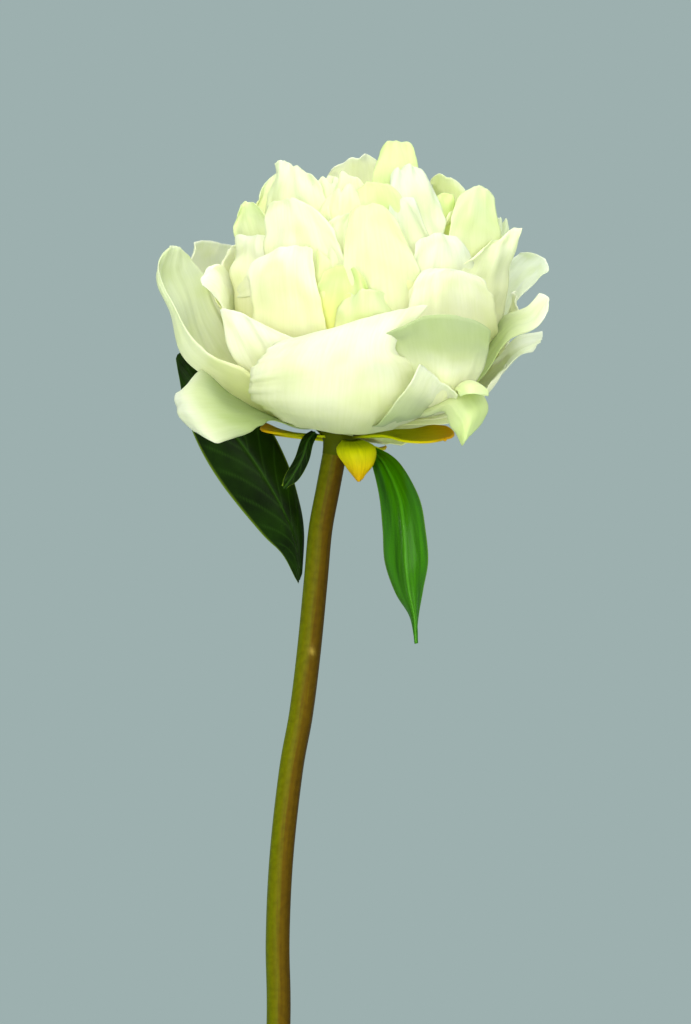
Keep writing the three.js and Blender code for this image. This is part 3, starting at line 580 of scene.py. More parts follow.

# %% Inner petals
# The green and cool casts in this table are partly the petals' own tint and partly painted shade.
INNERS = {
    "left_low": dict(layer=0.975, tip=(3, 9), depth=0.15, green=0, cool=0.1, rows=[
        [-29, 26, -23, 25, -13, 24], [-31, 40, -24, 39, -12, 38], [-31, 49, -25, 50, -13, 49],
        [-31, 54, -25, 56, -18, 53]]),
    "left_big": dict(layer=1.03, tip=(7, 3), creases=3, crumple=0.25, cup=0, depth=0.2, green=0,
                     cool=0.1, rows=[
        [-24, 22, -15, 20, -4, 21], [-26, 34, -15, 32, -5, 33], [-26, 44, -16, 44, -7, 43],
        [-21, 50, -14.5, 52, -9, 53]]),
    "left_flap": dict(layer=0.985, tip=(0.5, 4), round=1, notches=[], waver=0, ruffle=0.2, creases=0,
                      crumple=0, roll=0, cup=0, curl=0, depth=0, green=0, cool=0, rows=[
        [-20, 38, -20, 42, -20, 46], [-25, 37.5, -25.5, 41, -25.5, 45], [-30, 38, -30.5, 38.5, -30, 41]]),
    "yellow_fold": dict(layer=0.955, tip=(1, 6), depth=1.0, green=0.3, creases=2, crumple=0.1, cup=0, rows=[
        [-12, 31, -5, 30, 1, 29], [-12, 42, -4, 40, 3, 38], [-11, 53, -4, 49, 2, 44]]),
    "left_spoon": dict(layer=0.955, tip=(3, 8), rows=[
        [-20, 36, -10, 33, 3, 33], [-22, 50, -12, 47, 3, 45], [-21, 58, -13, 58, -1, 54],
        [-17, 64, -14, 66, -10, 63]]),
    "left_fringe": dict(layer=0.875, tip=(2, 9), fray=0.9, green=0.2, cool=0.4, rows=[
        [-22, 47, -12, 44, -1, 45], [-22, 60, -13, 59, -2, 57], [-21, 70, -14, 70, -5, 68],
        [-18, 77, -14, 79, -10, 74]]),
    "left_edge": dict(layer=0.84, tip=(8, 3), green=0.3, rows=[
        [-28, 48, -22, 47, -13, 47], [-27, 60, -21, 60, -12, 59], [-25, 67, -20, 69, -13, 70],
        [-21, 71, -19, 75, -17, 76]]),
    "left_green": dict(layer=0.93, tip=(3, 6), ruffle=0.6, creases=4, crumple=0.25, depth=0.1,
                       green=0.5, rows=[
        [-30, 42, -24, 41, -15, 41], [-31, 54, -25, 54, -16, 53], [-31, 61, -27, 62, -20, 60],
        [-29, 64, -27, 66, -24, 64]]),
    "centre_left": dict(layer=0.94, tip=(5, 6), cool=0.3, rows=[
        [-7, 34, 2, 33, 12, 34], [-7, 46, 2, 46, 12, 46], [-6, 54, 2, 57, 11, 55], [-1, 60, 4, 62, 9, 61]]),
    "centre_big": dict(layer=0.965, tip=(8, 6), depth=0, green=0.5, cool=0.3, rows=[
        [1, 27, 11, 25, 23, 27], [1, 40, 11, 39, 23, 39], [1, 50, 10, 51, 21, 49], [3, 59, 9, 60, 18, 56],
        [6, 62, 9, 64, 14, 62]]),
    "centre_green": dict(layer=0.99, tip=(4, 6), crumple=0.3, depth=0.9, green=0.7, rows=[
        [-8, 24, 0, 22, 9, 24], [-8, 34, 1, 33, 9, 34], [-6, 41, 2, 41, 8, 39], [-3, 44, 1, 46, 5, 44]]),
    "centre_lobe": dict(layer=1.045, tip=(3, 5), depth=1.0, green=0.4, rows=[
        [-1, 23, 8, 21, 18, 22], [-1, 31, 8, 30, 18, 30], [1, 36, 8, 39, 14, 36]]),
    "centre_right": dict(layer=0.945, tip=(6, 2), depth=0.9, rows=[
        [12, 26, 18, 25, 25, 26], [13, 37, 19, 37, 25, 37], [15, 45, 20, 49, 24, 50]]),
    "right_front": dict(layer=0.985, tip=(4, 7), depth=0.1, green=0, cool=0.6, rows=[
        [19, 29, 30, 27, 41, 30], [20, 42, 30, 41, 41, 42], [22, 50, 30, 51, 39, 50],
        [26, 54, 29, 56, 33, 55]]),
    "right_low": dict(layer=1.035, tip=(3, 6), depth=0, green=0, cool=0.1, crumple=0.15,
                      cup=0.3, curl=0, roll=0, rows=[
        [18, 21, 32, 20, 46, 23], [20, 33, 32, 33, 46, 34], [22, 41, 32, 42, 44, 40],
        [27, 44, 33, 45, 39, 43]]),
    "right_side": dict(layer=0.875, crumple=0.1, ruffle=0.4, notches=[], tip=(6, 3), depth=0.4, rows=[
        [31, 30, 40, 29, 48, 33], [31, 42, 40, 42, 48, 43], [34, 50, 40, 54, 45, 52]]),
    "right_white": dict(layer=0.905, tip=(2, 9), cool=0.8, rows=[
        [14, 36, 23, 35, 31, 37], [14, 48, 23, 48, 31, 48], [14, 59, 21, 60, 27, 56],
        [15, 64, 19, 67, 23, 65]]),
    "top_white": dict(layer=0.855, tip=(3, 7), cool=0.9, depth=0.1, rows=[
        [15, 45, 24, 44, 31, 46], [15, 57, 24, 58, 31, 56], [15, 68, 22, 70, 29.5, 65],
        [17, 73, 20, 77, 26, 74]]),
    "middle_green": dict(layer=0.87, tip=(4, 6), depth=0.1, green=0.7, rows=[
        [2, 47, 11, 46, 21, 48], [2, 59, 11, 60, 20, 59], [6, 67, 10, 71, 15, 69]]),
    "middle_left": dict(layer=0.89, tip=(5, 4), rows=[
        [-7, 47, 1, 46, 8, 47], [-7, 58, 0, 59, 8, 59], [-3, 64, 1, 69, 5, 66]]),
    "middle": dict(layer=0.85, tip=(3, 7), rows=[
        [-2, 47, 6, 46, 14, 48], [-2, 59, 6, 60, 13, 59], [3, 65, 5, 68, 9, 65]]),
    "middle_high": dict(layer=0.795, tip=(3, 6), cool=0.4, rows=[
        [-6, 53, 2, 52, 10, 52], [-6, 65, 1, 66, 9, 65], [-2, 72, 1, 75, 4, 73]]),
    "left_high": dict(layer=0.825, tip=(6, 3), rows=[
        [-10, 48, -4, 48, 3, 49], [-10, 61, -4, 62, 3, 61], [-7, 69, -5, 73, -1, 74]]),
    "crown": dict(layer=0.62, tip=(5, 5), round=1, notches=[], fray=0.1, creases=3, crumple=0.15,
                  depth=0, green=0.8, cool=0.2, rows=[
        [9, 53, 16, 51, 24, 53], [9, 65, 16, 65, 24, 66], [10, 75, 17, 77, 24, 75],
        [13, 83, 17, 86.5, 21, 83]]),
    "right_shaded": dict(layer=0.78, tip=(3, 4), green=0.8, rows=[
        [26, 50, 33, 49, 38, 50], [26, 61, 32, 63, 37, 62], [30, 67, 32, 69, 35, 67]]),
    "right_round": dict(layer=0.92, tip=(5, 6), round=1, notches=[], ruffle=0.4, creases=2, crease=0.1,
                        crumple=0.1, depth=0.1, green=0.5, cool=0.2, rows=[
        [31, 40, 39, 39, 49, 43], [32, 54, 39, 53, 50, 54], [34, 62, 40, 63, 48, 61],
        [36, 67, 41, 71, 45, 69]]),
    "right_point": dict(layer=0.985, tip=(6, 0.3), round=1, notches=[], depth=0, green=0.2, cool=0,
                        crease=0.1, roll=0, cup=0.5, curl=0, rows=[
        [30, 22, 38, 21, 46, 26], [31, 33, 40, 33, 49, 35], [34, 43, 43, 43, 51, 44],
        [39, 49, 46, 52, 53.3, 52], [46, 54, 49.5, 56.5, 54, 59]]),
    "back_crown": dict(layer=-0.45, tip=(5, 4), fray=0.2, crumple=0.2, depth=0, green=0, cool=0.2,
                       curl=0, rows=[
        [-3, 59, 5, 60, 14, 60], [-4, 73, 5, 74, 14, 74], [0, 79, 5, 81, 11, 80.5]]),
    "back_strip": dict(layer=-0.7, tip=(3, 7), fray=0.2, crumple=0.2, depth=0, green=0.2, cool=0, rows=[
        [25, 57, 31, 57, 37, 57], [26, 68, 32, 68, 39, 67], [27, 74, 32, 75, 37, 72]]),
    "right_frayed": dict(layer=-0.9, fray=1.2, cool=1.0, rows=[
        [43, 46, 46, 46, 49, 47], [44, 56, 48, 56, 51, 56], [46, 62, 49, 64, 51, 62]]),
}
INNER_LOOK = {**BLADE_LOOK, **dict(
    tip=(6, 6), round=1.5, fray=0.5, waver=0.06, nibble=0.02, ruffle=1.15, waves=1.5, creases=7,
    crease=0.18, crumple=0.5)}
INNER_THICK = 0.22
INNER_GRID = (34, 44)
FAR_GRID = (28, 36)
SUNK_LAYER = 0.6        # how far in the petals' roots are, as a share of their own layer
ROOT_CENTRED = 0.85     # how much nearer the dome's middle a root is than its shoulder
ROOT_WIDE = 0.5         # its width beside the shoulder's
ROOT_DROP = 6           # and how far below the shoulder it lies
TIP_WIDE = 0.33         # half the tip's width, beside the width of the row below
TIP_TILT = 0.5          # how much of the last row's slant is kept
# The deeper the layer, the yellower the petal: partly its own cream, partly painted shade.
DEPTH_GAIN = 3          # how fast the colour deepens from layer to layer


def broad_tip(below, last):
    """The last row, about as broad as the one below it, for the tip is rounded from there."""
    half = TIP_WIDE * (below[4] - below[0])
    tilt = TIP_TILT * (last[5] - last[1])
    return [last[2] - half, last[3] - tilt, last[2], last[3], last[2] + half, last[3] + tilt]


def inner_rows(inner, draw_in=1.0):
    """The rows of an inner petal in space, from a root sunk in the heart to its tip."""
    layer = inner["layer"] * draw_in
    shoulder = inner["rows"][0]
    middle = shoulder[2]
    sunk = []
    for k in (0, 2, 4):
        x = ROOT_CENTRED * (middle + ROOT_WIDE * (shoulder[k] - middle))
        sunk += on_dome(x, shoulder[k + 1] - ROOT_DROP, SUNK_LAYER * layer)
    rows = [sunk]
    for row in [*inner["rows"][:-1], broad_tip(*inner["rows"][-2:])]:
        rows.append(sum((on_dome(row[k], row[k + 1], layer) for k in (0, 2, 4)), []))
    return rows


def inner_look(name, inner, draw_in=1.0):
    """An inner petal's own look: what its table says, and the rest by chance."""
    chance = random.Random("look of " + name)
    look = dict(INNER_LOOK)
    look["depth"] = min(1.0, max(0.0, (1.0 - abs(inner["layer"]) * draw_in) * DEPTH_GAIN))
    look["roll"] = chance.uniform(-0.8, 0.8)
    look["cup"] = chance.uniform(-0.6, 1.2)
    look["curl"] = chance.uniform(-1.8, 1.4)
    look["notches"] = [(chance.uniform(-0.7, 0.7), chance.uniform(0.4, 1.6), chance.uniform(0.06, 0.2))
                       for _ in range(chance.randint(1, 3))]
    # A green and a grey cast, partly the tissue's own tint and partly painted shade.
    look["green"] = chance.uniform(0.0, 0.25)
    look["cool"] = chance.uniform(0.0, 0.4)
    return own_look(look, inner)


inners = []
for name, inner in INNERS.items():
    look = inner_look(name, inner)
    inners.append(lay_blade("inner_" + name, inner_rows(inner), look, INNER_GRID, INNER_THICK, petal_skin))
inner_petals = join_pieces("inner_petals", inners)

# %% [markdown]
# The photo doesn't show the far side of the dome. It is made of the same petals, turned about the bloom's
# axis and drawn in a little, and each with a look of its own.

# %% Far petals
BACK_INNERS = [
    ("left_big", 128, 1), ("right_low", 84, 0.95), ("left_big", 184, 1), ("right_low", 140, 0.95),
    ("left_big", 240, 1), ("right_low", 196, 0.95), ("left_big", 292, 0.86),
    ("left_spoon", 112, 0.86), ("centre_big", 112, 0.94), ("left_spoon", 180, 0.91),
    ("centre_big", 172, 0.94), ("left_spoon", 240, 0.91), ("centre_big", 232, 0.94),
    ("left_fringe", 165, 0.93), ("top_white", 115, 0.97), ("left_fringe", 235, 0.93),
    ("middle_green", 215, 0.92), ("middle_green", 78, 0.85), ("middle_high", 160, 1),
    ("middle_high", 240, 1),
]
behind = []
for k, (name, turn, draw_in) in enumerate(BACK_INNERS):
    title = f"behind_{k}_{name}"
    rows = inner_rows(INNERS[name], draw_in)
    look = inner_look(title, INNERS[name], draw_in)
    behind.append(lay_blade(title, rows, look, FAR_GRID, INNER_THICK, petal_skin, turn))
far_petals = join_pieces("far_petals", behind)

# %% [markdown]
# Between the layers one looks down on more, smaller petals, packed tight round the heart, and over its top
# the last ones close like a bud. They are set by the golden angle, as a plant sets them, so that no two
# lie one behind the other.

# %% Heart petals
GOLDEN_ANGLE = math.radians(137.5)
HEART_COUNT = 64
HEART_FEET = (8, 50)      # heights of the lowest and the highest foot
HEART_TALL = 22
HEART_LAYER = (0.84, 0.12)    # the first petal's layer, and how much further in the last one is
BUD_COUNT = 40            # the petals that close over the heart's top
BUD_FEET = (44, 76)
BUD_TALL = 24
BUD_SHRINK = (0.77, 0.05)     # the size of their dome beside the bloom's, and how much it loses
BUD_LAYER = (1, 0.1)
HEART_GRID = (16, 20)
DOME_TOP = 90
LEAST_RADIUS = 2.0
WIDEST_TURN = 1.2         # radians that a petal reaches to each side at most
RING_SHAPE = ((0, 0.4), (0.35, 0.8), (0.7, 1.0), (1, 0.95))    # share of its height, and of its width


def ring_rows(turn, foot, top, width, layer):
    """Rows of a petal on the dome at a turn about its axis, from one height to another."""
    rows = []
    for share, wide in RING_SHAPE:
        height = foot + (top - foot) * share
        radius = max(dome_radius(height) * layer, LEAST_RADIUS)
        row = []
        for side in (-1, 0, 1):
            angle = turn + side * min(wide * width / 2 / radius, WIDEST_TURN)
            bloom_place = Vector((radius * math.sin(angle), -radius * math.cos(angle), height))
            row += list(Matrix.Rotation(BLOOM_LEAN, 3, "Y") @ bloom_place)
        rows.append(row)
    return rows


def lay_heart_petal(name, rows, **own):
    """A small petal of the heart with its own look."""
    look = {**INNER_LOOK, "creases": 5, **own}
    return lay_blade(name, rows, look, HEART_GRID, INNER_THICK, petal_skin)


heart = []
pick = random.Random("heart")
for k in range(HEART_COUNT):
    share = k / (HEART_COUNT - 1)
    foot = HEART_FEET[0] + (HEART_FEET[1] - HEART_FEET[0]) * share
    top = foot + HEART_TALL + pick.uniform(-3, 2)
    width = pick.uniform(15, 20)
    layer = HEART_LAYER[0] - HEART_LAYER[1] * share + pick.uniform(-0.03, 0.03)
    rows = ring_rows(k * GOLDEN_ANGLE, foot, top, width, layer)
    heart.append(lay_heart_petal(f"heart_{k}", rows, curl=pick.uniform(-1.5, 1.5), depth=1.0))
for k in range(BUD_COUNT):
    share = k / (BUD_COUNT - 1)
    foot = BUD_FEET[0] + (BUD_FEET[1] - BUD_FEET[0]) * share
    top = min(foot + BUD_TALL, DOME_TOP)
    width = pick.uniform(17, 22)
    rows = np.array(ring_rows(k * GOLDEN_ANGLE, foot, top, width, BUD_LAYER[0] - BUD_LAYER[1] * share))
    rows *= BUD_SHRINK[0] - BUD_SHRINK[1] * share
    curl = pick.uniform(-0.5, 1.5)
    heart.append(lay_heart_petal(f"bud_{k}", rows, curl=curl, depth=pick.uniform(0.4, 0.9)))
heart_petals = join_pieces("heart_petals", heart)

# %% [markdown]
# In the middle are the seed pods, which the petals hide. They only fill the last dark gaps, so one rounded
# body in the same tissue is enough.

# %% Heart
POD_HALVES = (25, 25, 29)     # half its width, depth and height
POD_HEIGHT = 31               # its middle, up the bloom's axis

bpy.ops.object.select_all(action="DESELECT")
bpy.ops.mesh.primitive_uv_sphere_add(segments=32, ring_count=20, radius=1)
pods = bpy.context.object
pods.name = "heart_pods"
bpy.ops.transform.resize(value=[half * MM for half in POD_HALVES])
bpy.ops.transform.rotate(value=-BLOOM_LEAN, orient_axis="Y", center_override=(0, 0, 0))
bpy.ops.transform.translate(value=(BLOOM_ROOT + POD_HEIGHT * BLOOM_AXIS) * MM)
bpy.ops.object.transform_apply(location=True, rotation=True, scale=True)
bpy.ops.object.shade_smooth()
pods.data.materials.append(petal_skin)
for name, value in (("along", 0.2), ("depth", 1.0), ("green", 0.0), ("cool", 0.0), ("base_green", 0.0)):
    attribute = pods.data.attributes.new(name, "FLOAT", "POINT")
    attribute.data.foreach_set("value", [value] * len(pods.data.vertices))
pods.data.uv_layers[0].name = "blade"
print("pods", [round(c, 3) for c in pods.dimensions])

# %% [markdown]
# The calyx holds the bloom: a small cup with five sepals. Three of them show under the petals, a pointed
# yellow one in front and broader ones at the sides. They are stiffer than petals, hardly shine, and pass
# from yellow-green to amber at their ends. Near the root their yellow-green is made brighter than their
# own colour, painted light where the bloom shades them.

# %% Sepal material
SEPAL_STREAKS = (1.4, 0.12, 1)    # streaks to the millimetre, across and along a sepal

sepal_skin = new_material("peony_sepal_tissue")
along = add_node(sepal_skin, "Attribute", attribute_name="along")
grid = add_node(sepal_skin, "UVMap", uv_map="blade")
stretch = add_node(sepal_skin, "Mapping", {"Vector": grid.outputs["UV"], "Scale": SEPAL_STREAKS})
veins = add_node(sepal_skin, "TexNoise", {"Vector": stretch.outputs["Vector"], "Scale": 1.0, "Detail": 3.0})
# The bright yellow-green near the root is partly the sepals' own colour and partly painted light where the
# bloom shades them.
colour = add_node(sepal_skin, "ValToRGB", {"Fac": along.outputs["Fac"]}, stops=[
    (0.0, "545E00"), (0.1, "E4F010"), (0.4, "D8DC0C"), (0.7, "DECA0A"), (1.0, "DCA80A")])
streaks = add_node(sepal_skin, "ValToRGB", {"Fac": veins.outputs["Fac"]}, stops=[
    (0.3, "D8DCA0"), (0.7, "FFFFFF")])
tint = add_node(sepal_skin, "Mix", {
    0: 0.7, 6: colour.outputs["Color"], 7: streaks.outputs["Color"]}, **MULTIPLY)
relief = add_node(sepal_skin, "Bump", {
    "Height": veins.outputs["Fac"], "Strength": 0.4, "Distance": 0.15 * MM})
skin = add_node(sepal_skin, "BsdfPrincipled", {
    "Base Color": tint.outputs[2], "Roughness": 0.5, "IOR": 1.4, "Specular IOR Level": 0.1,
    "Normal": relief.outputs["Normal"]})
glow = add_node(sepal_skin, "BsdfTranslucent", {"Color": tint.outputs[2]})
sepal = add_node(sepal_skin, "MixShader", {0: 0.3, 1: skin.outputs["BSDF"], 2: glow.outputs["BSDF"]})
add_node(sepal_skin, "OutputMaterial", {"Surface": sepal.outputs["Shader"]})
print("made", sepal_skin.name)

# %% Sepals
SEPALS = {
    "front": [
        [1, -5, -4.5, 3.5, -6, -5, 6, -5, -4.5],
        [-0.5, -13, -7.5, 4.5, -18, -7.5, 10, -14, -7],
        [1.4, -16, -11.5, 5.5, -19, -12, 9.6, -16, -11.5],
        [4.6, -16, -15.5, 5.6, -17, -17, 6.6, -16, -15.5],
    ],
    "right": [
        [3.5, -5, -3.8, 4, 0, -3.6, 4, 5, -3],
        [12.5, -20, -3.6, 13.5, -8, -3.6, 13.5, 4, -2],
        [19, -27, -5.4, 22, -13, -4.2, 21.5, 2, -1.5],
        [27, -27, -5.8, 29, -15, -3.8, 27.5, -2, -0.5],
        [31.5, -22, -4.6, 34, -16, -3, 32.5, -8, -1],
    ],
    "left": [
        [-3.5, -3, -3.6, -4, 0, -3.4, -3.5, 4, -3.2],
        [-11, -5, -3, -11.5, 0, -2.8, -11, 6, -2.6],
        [-17.5, -21, -2.6, -18, -11, -2.2, -17, 0, -1.5],
        [-23, -25, -1.5, -23.5, -17, -1, -22, -8, 0.5],
    ],
}
BACK_SEPALS = [("left", -95), ("left", -150)]
SEPAL_LOOK = {**BLADE_LOOK, "cup": 0.3, "fray": 0, "ruffle": 0.25}
SEPAL_THICK = 0.7
SEPAL_GRID = (20, 28)


def lay_sepal(name, shape, turn=0.0):
    """One sepal from the table, turned about the bloom's axis."""
    return lay_blade(name, SEPALS[shape], SEPAL_LOOK, SEPAL_GRID, SEPAL_THICK, sepal_skin, turn)


sepals = [lay_sepal("sepal_" + name, name) for name in SEPALS]
sepals += [lay_sepal(f"sepal_back_{turn}", name, turn) for name, turn in BACK_SEPALS]

# %% [markdown]
# The cup under the sepals is turned: a circle at its foot is extruded up, ring by ring, and each ring is
# scaled to the cup's radius there. The vase and the water are turned in the same way further on.

# %% Calyx cup
CUP = [(3.7, -9.2), (3.8, -7.5), (4.1, -5.6), (5.0, -4.0), (6.8, -2.7)]    # radius and height
CUP_SIDES = 32


def turned_shell(name, profile, sides):
    """A round body about Z: a circle extruded from ring to ring of the profile, in millimetres."""
    bpy.ops.object.select_all(action="DESELECT")
    radius, height = profile[0]
    bpy.ops.mesh.primitive_circle_add(vertices=sides, radius=radius * MM, location=(0, 0, height * MM),
                                      fill_type="NGON")
    piece = bpy.context.object
    piece.name = name
    bpy.ops.object.mode_set(mode="EDIT")
    bpy.ops.mesh.select_all(action="SELECT")
    for (r0, z0), (r1, z1) in zip(profile, profile[1:]):
        bpy.ops.mesh.extrude_region_move(TRANSFORM_OT_translate={"value": (0, 0, (z1 - z0) * MM)})
        bpy.ops.transform.resize(value=(r1 / r0, r1 / r0, 1))
    bpy.ops.mesh.select_all(action="SELECT")
    bpy.ops.mesh.normals_make_consistent(inside=False)
    bpy.ops.object.mode_set(mode="OBJECT")
    bpy.ops.object.transform_apply(location=True, rotation=True, scale=True)
    return piece


cup = turned_shell("calyx_cup", CUP, CUP_SIDES)
cup.matrix_world = Matrix.Translation(BLOOM_ROOT * MM) @ Matrix.Rotation(BLOOM_LEAN, 4, "Y")
bpy.ops.object.transform_apply(location=True, rotation=True, scale=True)
bpy.ops.object.shade_smooth()
cup.data.materials.append(sepal_skin)
calyx = join_pieces("calyx_piece", [*sepals, cup])

# %% [markdown]
# A peony leaf is leathery, dark and satin, and the hanging one is brighter and glossier. Its midrib and
# side veins show lighter. How strongly a vein or the margin shows is stored on the leaf's points, and the
# material turns that to colour.

# %% Leaf materials
LEAF_PORES = 1.8    # to the millimetre: the fine grain that breaks up the gloss


def leaf_material(name, blade, vein, edge, roughness, streak, gloss):
    """A leathery leaf: its blade, its veins and its margin each have a colour."""
    skin = new_material(name)
    mark = add_node(skin, "Attribute", attribute_name="vein")
    margin = add_node(skin, "Attribute", attribute_name="margin")
    grid = add_node(skin, "UVMap", uv_map="blade")
    stretch = add_node(skin, "Mapping", {"Vector": grid.outputs["UV"], "Scale": (*streak, 1)})
    cloud = add_node(skin, "TexNoise", {"Vector": stretch.outputs["Vector"], "Scale": 1.0, "Detail": 3.0})
    pores = add_node(skin, "TexNoise", {"Vector": grid.outputs["UV"], "Scale": LEAF_PORES, "Detail": 2.0})
    ground = add_node(skin, "ValToRGB", {"Fac": cloud.outputs["Fac"]}, stops=[
        (0.3, blade[0]), (0.7, blade[1])])
    line = add_node(skin, "Mix", {
        0: mark.outputs["Fac"], 6: ground.outputs["Color"], 7: linear(vein)}, **MIX)
    rim = add_node(skin, "Mix", {0: margin.outputs["Fac"], 6: line.outputs[2], 7: linear(edge)}, **MIX)
    relief = add_node(skin, "Bump", {"Height": pores.outputs["Fac"], "Strength": 0.3, "Distance": 0.2 * MM})
    face = add_node(skin, "BsdfPrincipled", {
        "Base Color": rim.outputs[2], "Roughness": roughness, "IOR": 1.45, "Specular IOR Level": gloss,
        "Normal": relief.outputs["Normal"]})
    add_node(skin, "OutputMaterial", {"Surface": face.outputs["BSDF"]})
    return skin


dark_leaf = leaf_material(
    "peony_leaf_dark", blade=("081600", "142C00"), vein="2A4A10", edge="6E8A1E", roughness=0.5,
    streak=(0.12, 0.12), gloss=0.08)
bright_leaf = leaf_material(
    "peony_leaf_bright", blade=("1A4200", "327000"), vein="3A780A", edge="6C9820", roughness=0.25,
    streak=(0.5, 0.03), gloss=0.16)
print("made", dark_leaf.name, "and", bright_leaf.name)

# %% [markdown]
# The leaves are blades like the petals, with rows of their own. Their veins are sunk: the midrib runs
# straight up the middle, and side veins leave it at even steps and bend toward the tip. A finer grid than
# the petals' carries them.

# %% Leaves
LEAVES = {
    "leaf_left": [
        [-12.5, -1, -47.5, -12, 0, -46, -11.5, 1, -44.5],
        [-17, 5, -39, -13, 2, -36, -11, 5, -32],
        [-23.5, 9, -32.5, -17, 5, -25.5, -12.5, 9, -22.5],
        [-34, 13, -19.5, -25, 8, -12, -16.5, 13, -10.5],
        [-41.5, 15, -7.5, -33.5, 10, -0.5, -23.5, 15, 2],
        [-46.5, 15, 4, -41, 11, 9, -33.5, 15, 11],
        [-48.5, 13, 14.5, -46, 12, 17, -42.5, 14, 17],
        [-49.5, 12, 20.5, -48.5, 12, 22, -47, 12, 21],
    ],
    "leaf_right": [
        [5.4, -0.5, -7.6, 5.6, -1.5, -6.8, 6.2, -2.5, -6],
        [8.5, -2, -9, 9.5, -4, -8, 11, -5, -7],
        [10, -8, -12.5, 13.5, -12, -12, 17.5, -10, -11.5],
        [12, -14, -21.5, 17.5, -19, -21.5, 23, -15, -21.5],
        [13, -18, -31.5, 19, -24, -31.5, 25, -19, -31],
        [13.5, -20, -41, 19.5, -26, -41, 26, -21, -40.5],
        [16.5, -21, -50, 20.5, -25, -49.5, 24.5, -21, -49],
        [20.8, -22, -57, 22, -24, -57, 23.2, -22, -56.5],
        [22.3, -23, -64.5, 22.5, -23.6, -65, 22.7, -23, -64.5],
    ],
    "leaf_small": [
        [-8.5, -5.5, -2, -7.6, -6, -2.4, -6.8, -5.5, -3],
        [-11, -8, -4, -9.6, -9.2, -5, -8.2, -8, -6],
        [-13, -9, -9.5, -11.2, -10.2, -10, -9.4, -9, -11],
        [-15.8, -9, -15, -14.2, -10, -15.5, -12.6, -9, -16.5],
        [-17.2, -9, -18.6, -16.7, -9, -19, -16.2, -9, -18.8],
    ],
}
LEAF_LOOK = {**BLADE_LOOK, "tip": (0.5, 0.5), "ruffle": 0.5, "creases": 0}
LEAF_THICK = 0.6
LEAF_GRID = (60, 120)
SIDE_VEINS = {"leaf_left": (11, 0.24, 0.45), "leaf_right": (7, 0.55, 0.2), "leaf_small": (6, 0.24, 0.3)}
VEIN_DEPTH = 0.35       # how deep the veins are sunk
VEIN_BEND = 0.8         # below 1, the side veins bend toward the tip
MIDRIB_WIDE = 0.045     # half its width, as a share of the leaf's half width
SIDE_VEIN_WIDE = 0.06   # half a side vein's width, as a share of the step between two


def leaf_marks(u, v, count, slant, strength):
    """A leaf's relief in millimetres, and its paint: how strongly a vein or the margin shows."""
    midrib = np.exp(-(u / MIDRIB_WIDE) ** 2)
    run = (v - slant * np.abs(u) ** VEIN_BEND) * count
    nearest = np.abs(run - np.round(run))
    side = np.exp(-(nearest / SIDE_VEIN_WIDE) ** 2) * ease(1.0, 0.7, np.abs(u)) * strength
    vein = np.maximum(midrib, side)
    return -VEIN_DEPTH * vein, {"vein": vein, "margin": ease(0.95, 1.0, np.abs(u))}


leaves = {}
for name, rows in LEAVES.items():
    def marks(u, v, veins=SIDE_VEINS[name]):
        return leaf_marks(u, v, *veins)

    skin = bright_leaf if name == "leaf_right" else dark_leaf
    leaves[name] = lay_blade(name + "_blade", rows, LEAF_LOOK, LEAF_GRID, LEAF_THICK, skin, marks=marks)
print("leaves", sorted(leaves))

# %% [markdown]
# The stem's skin is smooth, with long faint fibres. Its left half is olive and its right half red-brown,
# where the sun reddened it, and a pale scar shows where a leaf was shed. Which half a point lies on, and
# how near the scar, are stored on it when the stem is made.

# %% Stem material
STEM_FIBRES = (1.1, 0.05, 1)    # fibres to the millimetre, round the stem and along it
STEM_SPECKS = 0.5               # specks to the millimetre

stem_skin = new_material("peony_stem_skin")
sunny = add_node(stem_skin, "Attribute", attribute_name="side")
scar = add_node(stem_skin, "Attribute", attribute_name="scar")
grid = add_node(stem_skin, "UVMap", uv_map="blade")
stretch = add_node(stem_skin, "Mapping", {"Vector": grid.outputs["UV"], "Scale": STEM_FIBRES})
fibres = add_node(stem_skin, "TexNoise", {"Vector": stretch.outputs["Vector"], "Scale": 1.0, "Detail": 4.0})
specks = add_node(stem_skin, "TexNoise", {"Vector": grid.outputs["UV"], "Scale": STEM_SPECKS, "Detail": 3.0})
waver = add_node(stem_skin, "Math", {0: fibres.outputs["Fac"], 1: -0.5}, operation="ADD")
turn = add_node(stem_skin, "Math", {
    0: waver.outputs[0], 1: 0.5, 2: sunny.outputs["Fac"]}, operation="MULTIPLY_ADD")
halves = add_node(stem_skin, "ValToRGB", {"Fac": turn.outputs[0]}, stops=[
    (0.0, "586200"), (0.42, "5C5800"), (0.62, "544000"), (1.0, "402E00")])
spots = add_node(stem_skin, "ValToRGB", {"Fac": specks.outputs["Fac"]}, stops=[
    (0.35, "D8D4B4"), (0.6, "FFFFFF")])
tint = add_node(stem_skin, "Mix", {
    0: 0.6, 6: halves.outputs["Color"], 7: spots.outputs["Color"]}, **MULTIPLY)
mark = add_node(stem_skin, "Mix", {0: scar.outputs["Fac"], 6: tint.outputs[2], 7: linear("8E7A30")}, **MIX)
relief = add_node(stem_skin, "Bump", {
    "Height": fibres.outputs["Fac"], "Strength": 0.4, "Distance": 0.2 * MM})
skin = add_node(stem_skin, "BsdfPrincipled", {
    "Base Color": mark.outputs[2], "Roughness": 0.45, "IOR": 1.45, "Specular IOR Level": 0.06,
    "Normal": relief.outputs["Normal"]})
add_node(stem_skin, "OutputMaterial", {"Surface": skin.outputs["BSDF"]})
print("made", stem_skin.name)

# %% [markdown]
# The stem is one bent tube, as thick as a pencil. A curve with a round bevel gives the tube, because its
# bend comes from a few points. Its points are then moved a little, for faint ribs and the swelling of the
# scar.

